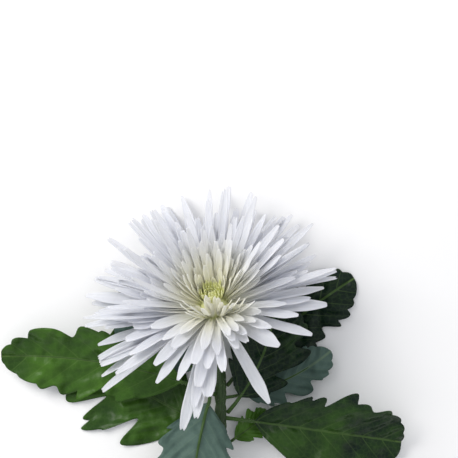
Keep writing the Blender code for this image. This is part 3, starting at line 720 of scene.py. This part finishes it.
# Each tip's place from the middle of the head in mm, seen from above, then the lean and the curl
# in degrees, the width in mm, and the rank, which is 0 for the outermost floret and 1 at the eye.
NEAR_FLORETS = (
    (-67, 5, 92, 6, 7.0, 0.05), (-64, 1, 96, 6, 6.6, 0.05), (-60, -3, 92, 4, 6.6, 0.10),
    (-52, -6, 86, 6, 6.6, 0.20), (-60, -20, 99, 6, 6.0, 0.00), (-60, -27, 100, 4, 6.0, 0.00),
    (-59, -30, 100, 6, 6.2, 0.00), (-58, -36, 106, 6, 6.0, 0.00), (-50, -34, 98, 8, 6.0, 0.10),
    (-58, -44, 108, 8, 6.0, 0.00), (-42, -10, 84, 12, 7.0, 0.25), (-46, -17, 90, 8, 6.6, 0.15),
    (-43, -24, 92, 6, 6.6, 0.20), (-30, -29, 90, 14, 7.2, 0.30), (-29, -38, 96, 10, 6.6, 0.20),
    (-18, -36, 90, 8, 5.8, 0.30), (-32, -10, 76, 10, 6.4, 0.35), (-26, -16, 74, 12, 6.4, 0.40),
    (-21, -20, 72, 14, 6.4, 0.45), (-17, -13, 62, 16, 6.0, 0.50), (-16, -62, 112, 6, 6.4, 0.00),
    (-10, -50, 106, 8, 6.0, 0.10), (-9, -56, 110, 6, 6.4, 0.00), (-3, -45, 98, 8, 8.0, 0.15),
    (-8, -40, 94, 8, 6.6, 0.20), (-3, -30, 78, 16, 7.8, 0.40), (-10, -28, 76, 10, 6.2, 0.40),
    (5, -31, 84, -10, 5.4, 0.35), (2, -23, 66, 20, 5.4, 0.50), (-5, -20, 62, 16, 5.6, 0.50),
    (50, -14, 96, 4, 6.8, 0.05), (58, 1, 94, 2, 6.8, 0.05), (50, 4, 90, 4, 6.4, 0.10),
    (43, -4, 86, 4, 6.6, 0.20), (37, 2, 80, 4, 6.0, 0.30), (33, -19, 86, 4, 8.4, 0.30),
    (29, -10, 76, 4, 6.8, 0.35), (24, -2, 70, 4, 5.4, 0.45), (21, -7, 68, 4, 5.8, 0.45),
    (28, -48, 106, 6, 6.6, 0.10), (12, -20, 68, 10, 5.2, 0.50), (17, -17, 72, 8, 5.4, 0.50),
    (13, -1, 50, 6, 5.2, 0.60), (17, 1, 56, 4, 4.8, 0.60), (15, -6, 56, 6, 5.4, 0.60),
    (12, -11, 56, 8, 5.6, 0.55), (16, -13, 64, 6, 5.6, 0.50), (10, -16, 60, 10, 5.4, 0.55),
    (8, -13, 54, 8, 4.8, 0.60),
)
HOOKED = 26
HOOKED_SEED = 29
HOOKED_ROOTS = math.radians(52)
HOOKED_FAN = 1.3
HOOKED_LEANS = (math.radians(22), math.radians(48))
HOOKED_CURL = math.radians(-38)
HOOKED_LENGTH = 23 * MM
HOOKED_WIDTH = 2.7 * MM
FLORET_ACROSS = 6
FLORET_ALONG = 11
FLORET_SHEET = 0.42 * MM
QUILL_OPENING = 1.45
TIP_OPENING = 0.48
RIDGE = 0.15 * MM
FLORET_WAVE = 0.35 * MM
FLORET_CROWDING = 1.2
FLORET_CLEARANCE = 0.4 * MM
FULL_TEETH_FROM = 40 * MM
TIP_SHARES = (0.34, 0.26, 0.22, 0.18)
TIPS = (
    {"end": 0.52, "corners": 1.0, "middle": 0.0, "sides": 0.0},
    {"end": 0.82, "corners": 2.2, "middle": 1.8, "sides": 0.0},
    {"end": 0.90, "corners": 1.8, "middle": 0.0, "sides": 1.9},
    {"end": 0.80, "corners": 2.6, "middle": 0.0, "sides": 0.0},
)
SHAPE_SEED = 5
INNER_FLORETS = 130
INNER_SEED = 23
INNER_LENGTHS = (28 * MM, 11 * MM)
INNER_LEANS = (math.radians(46), math.radians(16))
INNER_WIDTHS = (3.0 * MM, 1.7 * MM)
INNER_SAG = 0.2
FILLERS = 260
FILLER_SEED = 41
FILLER_RANKS = (0.04, 0.85)
EYE_HEIGHT = 11 * MM
# Cream round the eye, partly the inner florets' own cream and partly painted light: brighter than
# the white, it lightens the shade in the crowded middle of the head.
CREAM_AND_PAINTED_LIGHT_REACH = (6 * MM, 34 * MM)
PETAL_WHITE = "#DADCE4"
PETAL_SHADE = "#CACCD6"
PETAL_CREAM_AND_PAINTED_LIGHT = "#F2EFD4"
PETAL_ROOT = "#E0E3A0"


def face_lean(rank, angle):
    """Lean of the florets in the face: wide outside, upright at the eye, and less at the back."""
    spread = math.acos(mix(math.cos(LOWEST_LEAN), math.cos(INNER_LEAN), rank))
    return spread - FACE_SAG * math.sin(angle) * (1 - 0.5 * rank)


def far_side(traits):
    """Leaves out the florets of the near side, which are set down one by one."""
    return [trait for trait in traits if -math.sin(trait["angle"] + NEAR_TURN) <= NEAR_SIDE]


def floret_traits():
    """One entry for each floret, outermost first, of its place round the face, lean and size."""
    draw = random.Random(FLORET_SEED)
    traits = []
    for i in range(FLORETS):
        rank = i / (FLORETS - 1)
        length = mix(SHORTEST, LONGEST, (1 - rank ** SHORTENING) ** LENGTH_CROWN)
        angle = i * GOLDEN_ANGLE + draw.uniform(-ANGLE_SCATTER, ANGLE_SCATTER)
        angle += CLUMPING * (1 - rank) * math.sin(CLUMPS * angle)
        looseness = 1 - 0.6 * rank
        lean_scatter = draw.uniform(-LEAN_SCATTER, LEAN_SCATTER) * looseness
        traits.append({
            "rank": rank,
            "root": rank,
            "angle": angle,
            "lean": face_lean(rank, angle) + lean_scatter,
            "curl": mix(OUTER_CURL, INNER_CURL, rank) + draw.uniform(-CURL_SCATTER, CURL_SCATTER),
            "sway": draw.uniform(-SWAY, SWAY) * looseness,
            "roll": draw.uniform(-ROLL_SCATTER, ROLL_SCATTER) * looseness,
            "length": length * mix(*LENGTH_RANGE, min(1, 3 * rank) * draw.random() ** 2),
            "width": mix(WIDEST, WIDTH_OF_INNER, rank) * draw.uniform(*WIDTH_RANGE),
        })
    return far_side(traits)


def near_traits():
    """The florets of the near side, which part round a gap and are set down one by one."""
    traits = []
    for x, y, lean, curl, width, rank in NEAR_FLORETS:
        tip = Vector((x, y)) * MM
        trait = {
            "rank": rank,
            "root": rank / 2,
            "angle": math.atan2(y, x),
            "lean": math.radians(lean),
            "curl": math.radians(curl),
            "sway": 0,
            "roll": NEAR_ROLL * math.sin(x * y),
            "length": tip.length,
            "width": width * MM,
        }
        for _ in range(AIM_ROUNDS):
            aim(trait, HEAD.xy + tip)
        traits.append(trait)
    return traits


def aim(trait, target):
    """Turns a floret and changes its length, so that its tip nears the target seen from above."""
    line = floret_line(trait)
    tip = line[-1][0].xy
    seen = tip - line[0][0].xy
    miss = target - tip
    turn = seen.normalized().cross(miss) / (trait["length"] * math.sin(trait["lean"]))
    trait["length"] *= 1 + max(-AIM_LIMIT, min(AIM_LIMIT, miss.dot(seen) / seen.length_squared))
    trait["angle"] += max(-AIM_LIMIT, min(AIM_LIMIT, turn))


def hooked_traits():
    """Narrow florets from the gap that fan out to both sides, the middle ones bent to the eye."""
    draw = random.Random(HOOKED_SEED)
    traits = []
    for i in range(HOOKED):
        aside = mix(-1, 1, (i + 0.5) / HOOKED)
        inner = i % 3
        traits.append({
            "rank": 0.9,
            "root": 0.15 + 0.2 * inner,
            "angle": -math.pi / 2 + HOOKED_ROOTS * aside + draw.uniform(-0.12, 0.12),
            "lean": mix(*HOOKED_LEANS, abs(aside)) * draw.uniform(0.75, 1.25),
            "curl": HOOKED_CURL * (1 - abs(aside)) * draw.uniform(0.4, 1.3),
            "sway": HOOKED_FAN * aside + draw.uniform(-0.3, 0.3),
            "roll": draw.uniform(-0.6, 0.6),
            "length": HOOKED_LENGTH * (1 - 0.14 * inner) * draw.uniform(0.7, 1.15),
            "width": HOOKED_WIDTH * draw.uniform(0.75, 1.2),
        })
    return traits


def inner_traits():
    """The short florets that crowd round the eye and bend in over it."""
    draw = random.Random(INNER_SEED)
    traits = []
    for i in range(INNER_FLORETS):
        rank = (i + 0.5) / INNER_FLORETS
        angle = (i + 0.5) * GOLDEN_ANGLE + draw.uniform(-0.15, 0.15)
        sag = INNER_SAG * max(0, math.sin(angle))
        traits.append({
            "rank": 1.0,
            "root": 1.0,
            "angle": angle,
            "lean": mix(*INNER_LEANS, rank) + draw.uniform(-0.09, 0.09) + sag,
            "curl": math.radians(draw.uniform(-26, -4)),
            "sway": draw.uniform(-0.1, 0.1),
            "roll": math.radians(draw.uniform(-18, 18)),
            "length": mix(*INNER_LENGTHS, rank) * draw.uniform(0.85, 1.1),
            "width": mix(*INNER_WIDTHS, rank) * draw.uniform(0.85, 1.1),
        })
    return far_side(traits)


def filler_traits():
    """Shorter florets between the long ones, whose tips show as steps in the face."""
    draw = random.Random(FILLER_SEED)
    traits = []
    for i in range(FILLERS):
        rank = mix(*FILLER_RANKS, (i + 0.5) / FILLERS)
        angle = (i + 0.3) * GOLDEN_ANGLE + draw.uniform(-0.1, 0.1)
        traits.append({
            "rank": rank,
            "root": rank,
            "angle": angle,
            "lean": face_lean(rank, angle) + math.radians(draw.uniform(-9, 0)),
            "curl": math.radians(draw.uniform(-14, 12)),
            "sway": draw.uniform(-SWAY, SWAY),
            "roll": draw.uniform(-ROLL_SCATTER, ROLL_SCATTER) * 0.6,
            "length": mix(LONGEST, SHORTEST, rank) * draw.uniform(0.55, 0.95),
            "width": mix(WIDEST, WIDTH_OF_INNER, rank) * draw.uniform(0.85, 1.05),
        })
    return far_side(traits)


def above_the_table(point):
    """Bends what would reach the table up along it, less low at the sides than behind the head."""
    aside = smooth_step(BEHIND_REACH, SIDE_START, abs(point.x - HEAD.x))
    level = mix(BEHIND_LEVEL, SIDE_LEVEL, aside)
    return Vector((point.x, point.y, kept_above(point.z, level, FLORET_EASING)))


def floret_line(trait):
    """The floret's middle line as (point, direction, sideways) along its length."""
    root_radius = mix(OUTER_ROOT[0], INNER_ROOT[0], trait["root"])
    root_height = mix(OUTER_ROOT[1], INNER_ROOT[1], trait["root"])
    point = HEAD + OUT * root_height + round_the_face(trait["angle"]) * root_radius
    points = [point]
    step = trait["length"] / FLORET_STEPS
    for k in range(FLORET_STEPS):
        share = (k + 0.5) / FLORET_STEPS
        lean = trait["lean"] + trait["curl"] * share
        outward = round_the_face(trait["angle"] + trait["sway"] * share)
        point = point + (OUT * math.cos(lean) + outward * math.sin(lean)) * step
        points.append(point)
    round_axis = round_the_face(trait["angle"] + math.pi / 2)
    line = []
    for here, direction in with_directions([above_the_table(p) for p in points]):
        level = (round_axis - direction * round_axis.dot(direction)).normalized()
        face = direction.cross(level)
        sideways = level * math.cos(trait["roll"]) + face * math.sin(trait["roll"])
        line.append((here, direction, sideways))
    return line


def tip_set_back(tip, across):
    """How far short of the full length the edge stops, which makes the teeth of the tip."""
    corner = tip["corners"] * smooth_step(0.55, 1.0, abs(across)) ** 1.5
    middle = tip["middle"] * math.exp(-(across / 0.25) ** 2)
    sides = tip["sides"] * math.exp(-((abs(across) - 0.4) / 0.18) ** 2)
    return (corner + middle + sides) * MM


def place_floret(mesh, layers, trait, draw):
    """One floret as a ridged sheet on its line, a quill at the root and a channel further out."""
    line = floret_line(trait)
    tip = draw.choices(TIPS, TIP_SHARES)[0]
    opening = draw.uniform(0.8, 1.25)
    wave_phase = draw.uniform(0, 2 * math.pi)
    waviness = FLORET_WAVE * draw.uniform(0.3, 1.6)
    tone = draw.random()
    sheet = bmesh.ops.create_grid(
        mesh, x_segments=FLORET_ACROSS, y_segments=FLORET_ALONG, size=0.5, calc_uvs=True)
    for vertex in sheet["verts"]:
        across = -2 * vertex.co.x
        along = 1 - (0.5 - vertex.co.y) ** FLORET_CROWDING
        set_back = tip_set_back(tip, across) * min(1, trait["length"] / FULL_TEETH_FROM)
        share = along - smooth_step(0.75, 1, along) * set_back / trait["length"]
        place, direction, sideways = read_line(line, share)
        face = direction.cross(sideways)
        narrowing = mix(1, tip["end"], smooth_step(0.8, 1, along))
        half = 0.5 * trait["width"] * read_profile(FLORET_WIDTHS, along) * narrowing
        arc = opening * mix(QUILL_OPENING, TIP_OPENING, smooth_step(0, 0.75, along) ** 0.7)
        round_x = half * math.sin(arc * across) / math.sin(min(arc, math.pi / 2))
        depth = half / math.sin(min(arc, math.pi / 2))
        lift = depth * (math.cos(arc * 0.5) - math.cos(arc * across))
        lift += RIDGE * math.cos(3 * math.pi * across) * smooth_step(0.05, 0.3, along)
        lift += waviness * across * across * math.sin(3 * math.pi * along + wave_phase)
        point = place + sideways * round_x + face * lift
        point.z = max(point.z, FLORET_CLEARANCE)
        vertex.co = point
        vertex[layers["from_root"]] = along * trait["length"] / MM
        vertex[layers["rank"]] = trait["rank"]
        vertex[layers["tone"]] = tone


def petal_material():
    """Living petal: thin moist tissue that lets light through, with fine lengthwise ribs."""
    made, tree, shader = new_material("white_petal_tissue")
    from_root = add(tree, "Attribute", attribute_name="from_root").outputs["Fac"]
    rank = add(tree, "Attribute", attribute_name="rank").outputs["Fac"]
    tone = add(tree, "Attribute", attribute_name="tone").outputs["Fac"]
    flat = add(tree, "UVMap", uv_map="petal").outputs[0]
    apart = add(tree, "CombineXYZ", {0: tone, 1: tone, 2: tone}).outputs[0]
    moved = add(tree, "VectorMath", {
        0: apart, 1: (40, 40, 40), 2: flat}, operation="MULTIPLY_ADD").outputs[0]
    lines = add(tree, "Mapping", {"Vector": moved, "Scale": (14, 1.6, 1)}).outputs[0]
    streak = add(tree, "TexNoise", {"Vector": lines, "Scale": 1.0, "Detail": 3}).outputs["Fac"]
    streak = add(tree, "MapRange", {0: streak, 1: 0.3, 2: 0.7}).outputs[0]
    cool = add(tree, "Math", {0: streak, 1: tone}, operation="MULTIPLY").outputs[0]
    white = add(tree, "Mix", {
        0: cool, 6: linear(PETAL_WHITE), 7: linear(PETAL_SHADE)}, data_type="RGBA").outputs[2]
    place = add(tree, "TexCoord").outputs["Object"]
    # Cream from a point over the eye: partly the florets' own cream and partly painted light,
    # brighter than the white, that lifts the shade in the crowded middle.
    from_eye = add(tree, "VectorMath", {
        0: place, 1: HEAD + OUT * EYE_HEIGHT}, operation="SUBTRACT").outputs[0]
    away = add(tree, "VectorMath", {0: from_eye}, operation="LENGTH").outputs["Value"]
    cream_and_painted_light = add(tree, "MapRange", {0: away, 1: CREAM_AND_PAINTED_LIGHT_REACH[0], 2: CREAM_AND_PAINTED_LIGHT_REACH[1], 3: 1, 4: 0},
                interpolation_type="SMOOTHSTEP").outputs[0]
    with_cream_and_painted_light = add(tree, "Mix", {
        0: cream_and_painted_light, 6: white, 7: linear(PETAL_CREAM_AND_PAINTED_LIGHT)}, data_type="RGBA").outputs[2]
    root_reach = add(tree, "MapRange", {0: rank, 1: 0.5, 2: 1, 3: 5, 4: 9}).outputs[0]
    root = add(tree, "MapRange", {0: from_root, 1: 1, 2: root_reach, 3: 0.9, 4: 0},
               interpolation_type="SMOOTHSTEP").outputs[0]
    colour = add(tree, "Mix", {
        0: root, 6: with_cream_and_painted_light, 7: linear(PETAL_ROOT)}, data_type="RGBA").outputs[2]
    bump = add(tree, "Bump", {"Height": streak, "Distance": 0.08 * MM, "Strength": 0.6}).outputs[0]
    connect(tree, shader, {
        "Base Color": colour, "Normal": bump, "Roughness": 0.5, "Specular IOR Level": 0.3,
        "Subsurface Weight": 0.7, "Subsurface Radius": (1.0, 0.95, 0.85),
        "Subsurface Scale": 3.5 * MM})
    return made


def floret_layers(mesh):
    """The values that the petal's material reads at each vertex."""
    for name in ("from_root", "rank", "tone"):
        mesh.verts.layers.float.new(name)
    return {name: mesh.verts.layers.float[name] for name in ("from_root", "rank", "tone")}


def finish_florets(mesh, name, material):
    florets = new_piece(mesh, name, [material])
    thicken(florets, FLORET_SHEET)
    round_off(florets)
    return florets


def core_skin(round_share, height_share):
    height = mix(CORE_BOTTOM, CORE_TOP, height_share)
    radius = math.sqrt(CORE_RADIUS ** 2 - height ** 2)
    return HEAD + OUT * height + round_the_face(2 * math.pi * round_share) * (radius - CORE_SUNK)


petal = petal_material()
shape_draw = random.Random(SHAPE_SEED)
far_traits = floret_traits()
half = len(far_traits) // 2
groups = {
    "ray_florets_outer": far_traits[:half],
    "ray_florets_inner": far_traits[half:] + inner_traits(),
    "ray_florets_between": filler_traits(),
    "ray_florets_near": near_traits() + hooked_traits(),
}
floret_pieces = []
for name, traits in groups.items():
    floret_mesh = new_mesh("petal")
    floret_attributes = floret_layers(floret_mesh)
    for trait in traits:
        place_floret(floret_mesh, floret_attributes, trait, shape_draw)
    floret_pieces.append(finish_florets(floret_mesh, name, petal))
core_mesh = new_mesh("petal")
floret_layers(core_mesh)
wrap_sheet(core_mesh, CORE_ROWS, CORE_SIDES, core_skin)
floret_pieces.append(new_piece(core_mesh, "flower_disc", [petal]))
for piece in floret_pieces:
    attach(piece, "root")
    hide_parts("ray_florets")


# The young florets: the green-yellow tuft in the eye, florets that haven't opened yet. They are
# soft narrow tongues that hook in over the middle, greenest at the root.

YOUNG = 74
YOUNG_SEED = 3
YOUNG_CORE_RADIUS = 3.9 * MM
YOUNG_BASE = CORE_TOP + SEAT_GAP
YOUNG_RAISED = 0.4 * MM
YOUNG_SPREAD = 0.86
YOUNG_LENGTHS = (4.0 * MM, 9.0 * MM)
YOUNG_WIDTHS = (0.9 * MM, 1.5 * MM)
YOUNG_LEANS = (math.radians(2), math.radians(42))
YOUNG_HOOK = math.radians(-18)
YOUNG_SHEET = 0.35 * MM
YOUNG_GRAIN = 1.2 * MM
DOME_ROWS = 6
DOME_SIDES = 24
DOME_HEIGHT = 0.65
YOUNG_GREEN = "#CBD05C"
YOUNG_TIP = "#F0F1C4"


def place_young(mesh, index, draw):
    rank = math.sqrt((index + 0.5) / YOUNG)
    angle = index * GOLDEN_ANGLE
    root = HEAD + OUT * (YOUNG_BASE + YOUNG_RAISED)
    root += round_the_face(angle) * (YOUNG_CORE_RADIUS * YOUNG_SPREAD * rank)
    length = mix(*YOUNG_LENGTHS, rank) * draw.uniform(0.85, 1.05)
    width = mix(*YOUNG_WIDTHS, rank)
    lean = mix(*YOUNG_LEANS, rank) + draw.uniform(-0.08, 0.08)
    sideways = OUT.cross(round_the_face(angle))
    tongue = bmesh.ops.create_grid(mesh, x_segments=4, y_segments=5, size=0.5, calc_uvs=True)
    for vertex in tongue["verts"]:
        across = -2 * vertex.co.x
        along = vertex.co.y + 0.5
        bent = lean + YOUNG_HOOK * along * along
        place = root + (OUT * math.cos(bent) + round_the_face(angle) * math.sin(bent)) * (
            length * along)
        half = width / 2 * math.sin(math.pi * mix(0.22, 0.92, along)) ** 0.6
        inward = -round_the_face(angle) * math.cos(bent) + OUT * math.sin(bent)
        vertex.co = place + sideways * (across * half) + inward * (0.7 * half * across * across)


def young_material():
    """Unopened floret: soft tissue, yellow-green at the root and paler to the tip."""
    made, tree, shader = new_material("young_petal_tissue")
    flat = add(tree, "UVMap", uv_map="petal").outputs[0]
    along = add(tree, "SeparateXYZ", {0: flat}).outputs[1]
    place = add(tree, "TexCoord").outputs["Object"]
    noise = add(tree, "TexNoise", {"Vector": place, "Scale": 1 / YOUNG_GRAIN}).outputs["Fac"]
    level = add(tree, "Math", {0: along, 1: noise}, operation="MULTIPLY").outputs[0]
    level = add(tree, "MapRange", {0: level, 1: 0.05, 2: 0.55}).outputs[0]
    colour = add(tree, "Mix", {
        0: level, 6: linear(YOUNG_GREEN), 7: linear(YOUNG_TIP)}, data_type="RGBA").outputs[2]
    bump = add(tree, "Bump", {"Height": noise, "Distance": 0.08 * MM}).outputs[0]
    connect(tree, shader, {
        "Base Color": colour, "Normal": bump, "Roughness": 0.55, "Subsurface Weight": 0.2,
        "Subsurface Radius": (1.0, 1.0, 0.5), "Subsurface Scale": 1 * MM})
    return made


def dome_skin(round_share, height):
    level = YOUNG_BASE + YOUNG_CORE_RADIUS * DOME_HEIGHT * height
    radius = YOUNG_CORE_RADIUS * math.sqrt(1 - 0.75 * height * height)
    return HEAD + OUT * level + round_the_face(2 * math.pi * round_share) * radius


young_mesh = new_mesh("petal")
young_draw = random.Random(YOUNG_SEED)
for i in range(YOUNG):
    place_young(young_mesh, i, young_draw)
young_skin = young_material()
young = new_piece(young_mesh, "young_florets_tuft", [young_skin])
thicken(young, YOUNG_SHEET)
round_off(young)
dome_mesh = new_mesh("petal")
wrap_sheet(dome_mesh, DOME_ROWS, DOME_SIDES, dome_skin)
dome = new_piece(dome_mesh, "young_floret_dome", [young_skin])
for piece in (young, dome):
    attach(piece, "root")
    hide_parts("young_florets")


# The down: short pale hairs that the plant grows on the neck of its stem and on its leaf stalks.
# Each is a thin three-sided spike, rooted in the skin and leaning a little towards the tip.

NECK_PATCHES = 15
HAIRS_IN_PATCH = 90
NECK_SHARES = (0.01, 0.5)
STALK_SHARES = (0.03, 0.2)
HAIR_LENGTH = 0.8 * MM
HAIR_RADII = (0.05 * MM, 0.015 * MM)
HAIR_SUNK = 0.12 * MM
HAIR_FORWARD = 0.4
DOWN_SEED = 47
DOWN_WHITE = "#B9C4A6"


def place_hair(mesh, root, outward, forward, draw):
    direction = (outward + forward * HAIR_FORWARD * draw.uniform(-0.3, 1.3)).normalized()
    length = HAIR_LENGTH * draw.uniform(0.5, 1.2)
    if min(root.z, root.z + direction.z * length) < HAIR_SUNK:
        return
    spike = bmesh.ops.create_cone(
        mesh, cap_ends=True, segments=3, radius1=HAIR_RADII[0], radius2=HAIR_RADII[1], depth=length)
    turn = direction.to_track_quat("Z", "Y").to_matrix()
    lifted = Vector((0, 0, length / 2 - HAIR_SUNK))
    for vertex in spike["verts"]:
        vertex.co = root + turn @ (vertex.co + lifted)


def neck_patch(mesh, draw):
    for _ in range(HAIRS_IN_PATCH):
        share = mix(*NECK_SHARES, draw.random() ** 1.6)
        root = stem_skin(draw.random(), share)
        outward = (root - stem_point(share)).normalized()
        place_hair(mesh, root, outward, -stem_direction(share), draw)


def stalk_patch(mesh, draw, leaf):
    line = leaf_line(leaf)
    for _ in range(HAIRS_IN_PATCH):
        along = draw.uniform(*STALK_SHARES)
        turn = draw.random()
        root = rib_skin(leaf, line, turn, along)
        outward = (root - rib_skin(leaf, line, turn + 0.5, along)).normalized()
        place_hair(mesh, root, outward, read_line(line, along)[1], draw)


def grow_down(mesh, draw):
    """Grows the hairs in patches, which are quick to make, and gathers them in one mesh."""
    gathered = bpy.data.meshes.new("patch_of_down")
    for number in range(NECK_PATCHES + len(LEAVES)):
        patch = bmesh.new()
        if number < NECK_PATCHES:
            neck_patch(patch, draw)
        else:
            stalk_patch(patch, draw, LEAVES[number - NECK_PATCHES])
        patch.to_mesh(gathered)
        patch.free()
        mesh.from_mesh(gathered)
    bpy.data.meshes.remove(gathered)


down_mesh = bmesh.new()
grow_down(down_mesh, random.Random(DOWN_SEED))
down_hair, down_tree, down_shader = new_material("pale_plant_hair")
connect(down_tree, down_shader, {"Base Color": linear(DOWN_WHITE), "Roughness": 0.7})
down = new_piece(down_mesh, "stem_down", [down_hair])
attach(down, "root")


# The table, the light and the camera: a plain white top, a broad soft light from the upper left
# with a weaker one opposite, and a camera straight above that frames the head and the leaves.

MM_PER_PIXEL = 0.51 * MM
IMAGE_WIDTH = 458
HEAD_PIXEL = (214, 307)
CAMERA_DISTANCE = 1.1
SENSOR_MM = 36
TABLE_HALF = 3
TABLE_DROP = 0.05 * MM
TABLE_WHITE = "#FDFDFE"
ROOM_WHITE = "#FBFCFF"
ROOM_STRENGTH = 0.64

table_mesh = bmesh.new()
bmesh.ops.create_grid(table_mesh, x_segments=1, y_segments=1, size=TABLE_HALF)
bmesh.ops.translate(table_mesh, verts=table_mesh.verts, vec=(0, 0, -TABLE_DROP))
table_paint, table_tree, table_shader = new_material("matt_white_table")
connect(table_tree, table_shader, {
    "Base Color": linear(TABLE_WHITE), "Roughness": 0.9, "Specular IOR Level": 0.1})
table = new_piece(table_mesh, "table_top", [table_paint])

world = bpy.data.worlds.new("soft_room")
world.use_nodes = True
connect(world.node_tree, world.node_tree.nodes["Background"], {
    "Color": linear(ROOM_WHITE), "Strength": ROOM_STRENGTH})
bpy.context.scene.world = world


def add_light(name, place, size, energy, colour):
    light = bpy.data.lights.new(name, "AREA")
    light.size = size
    light.energy = energy
    light.color = linear(colour)[:3]
    lamp = bpy.data.objects.new(name, light)
    lamp.location = place
    lamp.rotation_euler = (HEAD - lamp.location).to_track_quat("-Z", "Y").to_euler()
    bpy.context.scene.collection.objects.link(lamp)


add_light("key_softbox", Vector((-0.72, 0.62, 0.74)), 0.7, 10, "#FFFDF8")
add_light("fill_softbox", Vector((0.5, 0.3, 1.1)), 1.0, 1.0, "#F6F8FF")

camera = bpy.data.cameras.new("camera")
camera.sensor_width = SENSOR_MM
camera.lens = SENSOR_MM * CAMERA_DISTANCE / (IMAGE_WIDTH * MM_PER_PIXEL)
eye = bpy.data.objects.new("camera", camera)
eye.location = Vector((
    HEAD.x + (IMAGE_WIDTH / 2 - HEAD_PIXEL[0]) * MM_PER_PIXEL,
    HEAD.y + (HEAD_PIXEL[1] - IMAGE_WIDTH / 2) * MM_PER_PIXEL,
    HEAD.z + CAMERA_DISTANCE,
))
bpy.context.scene.collection.objects.link(eye)
bpy.context.scene.camera = eye
bpy.context.scene.view_settings.view_transform = "Standard"
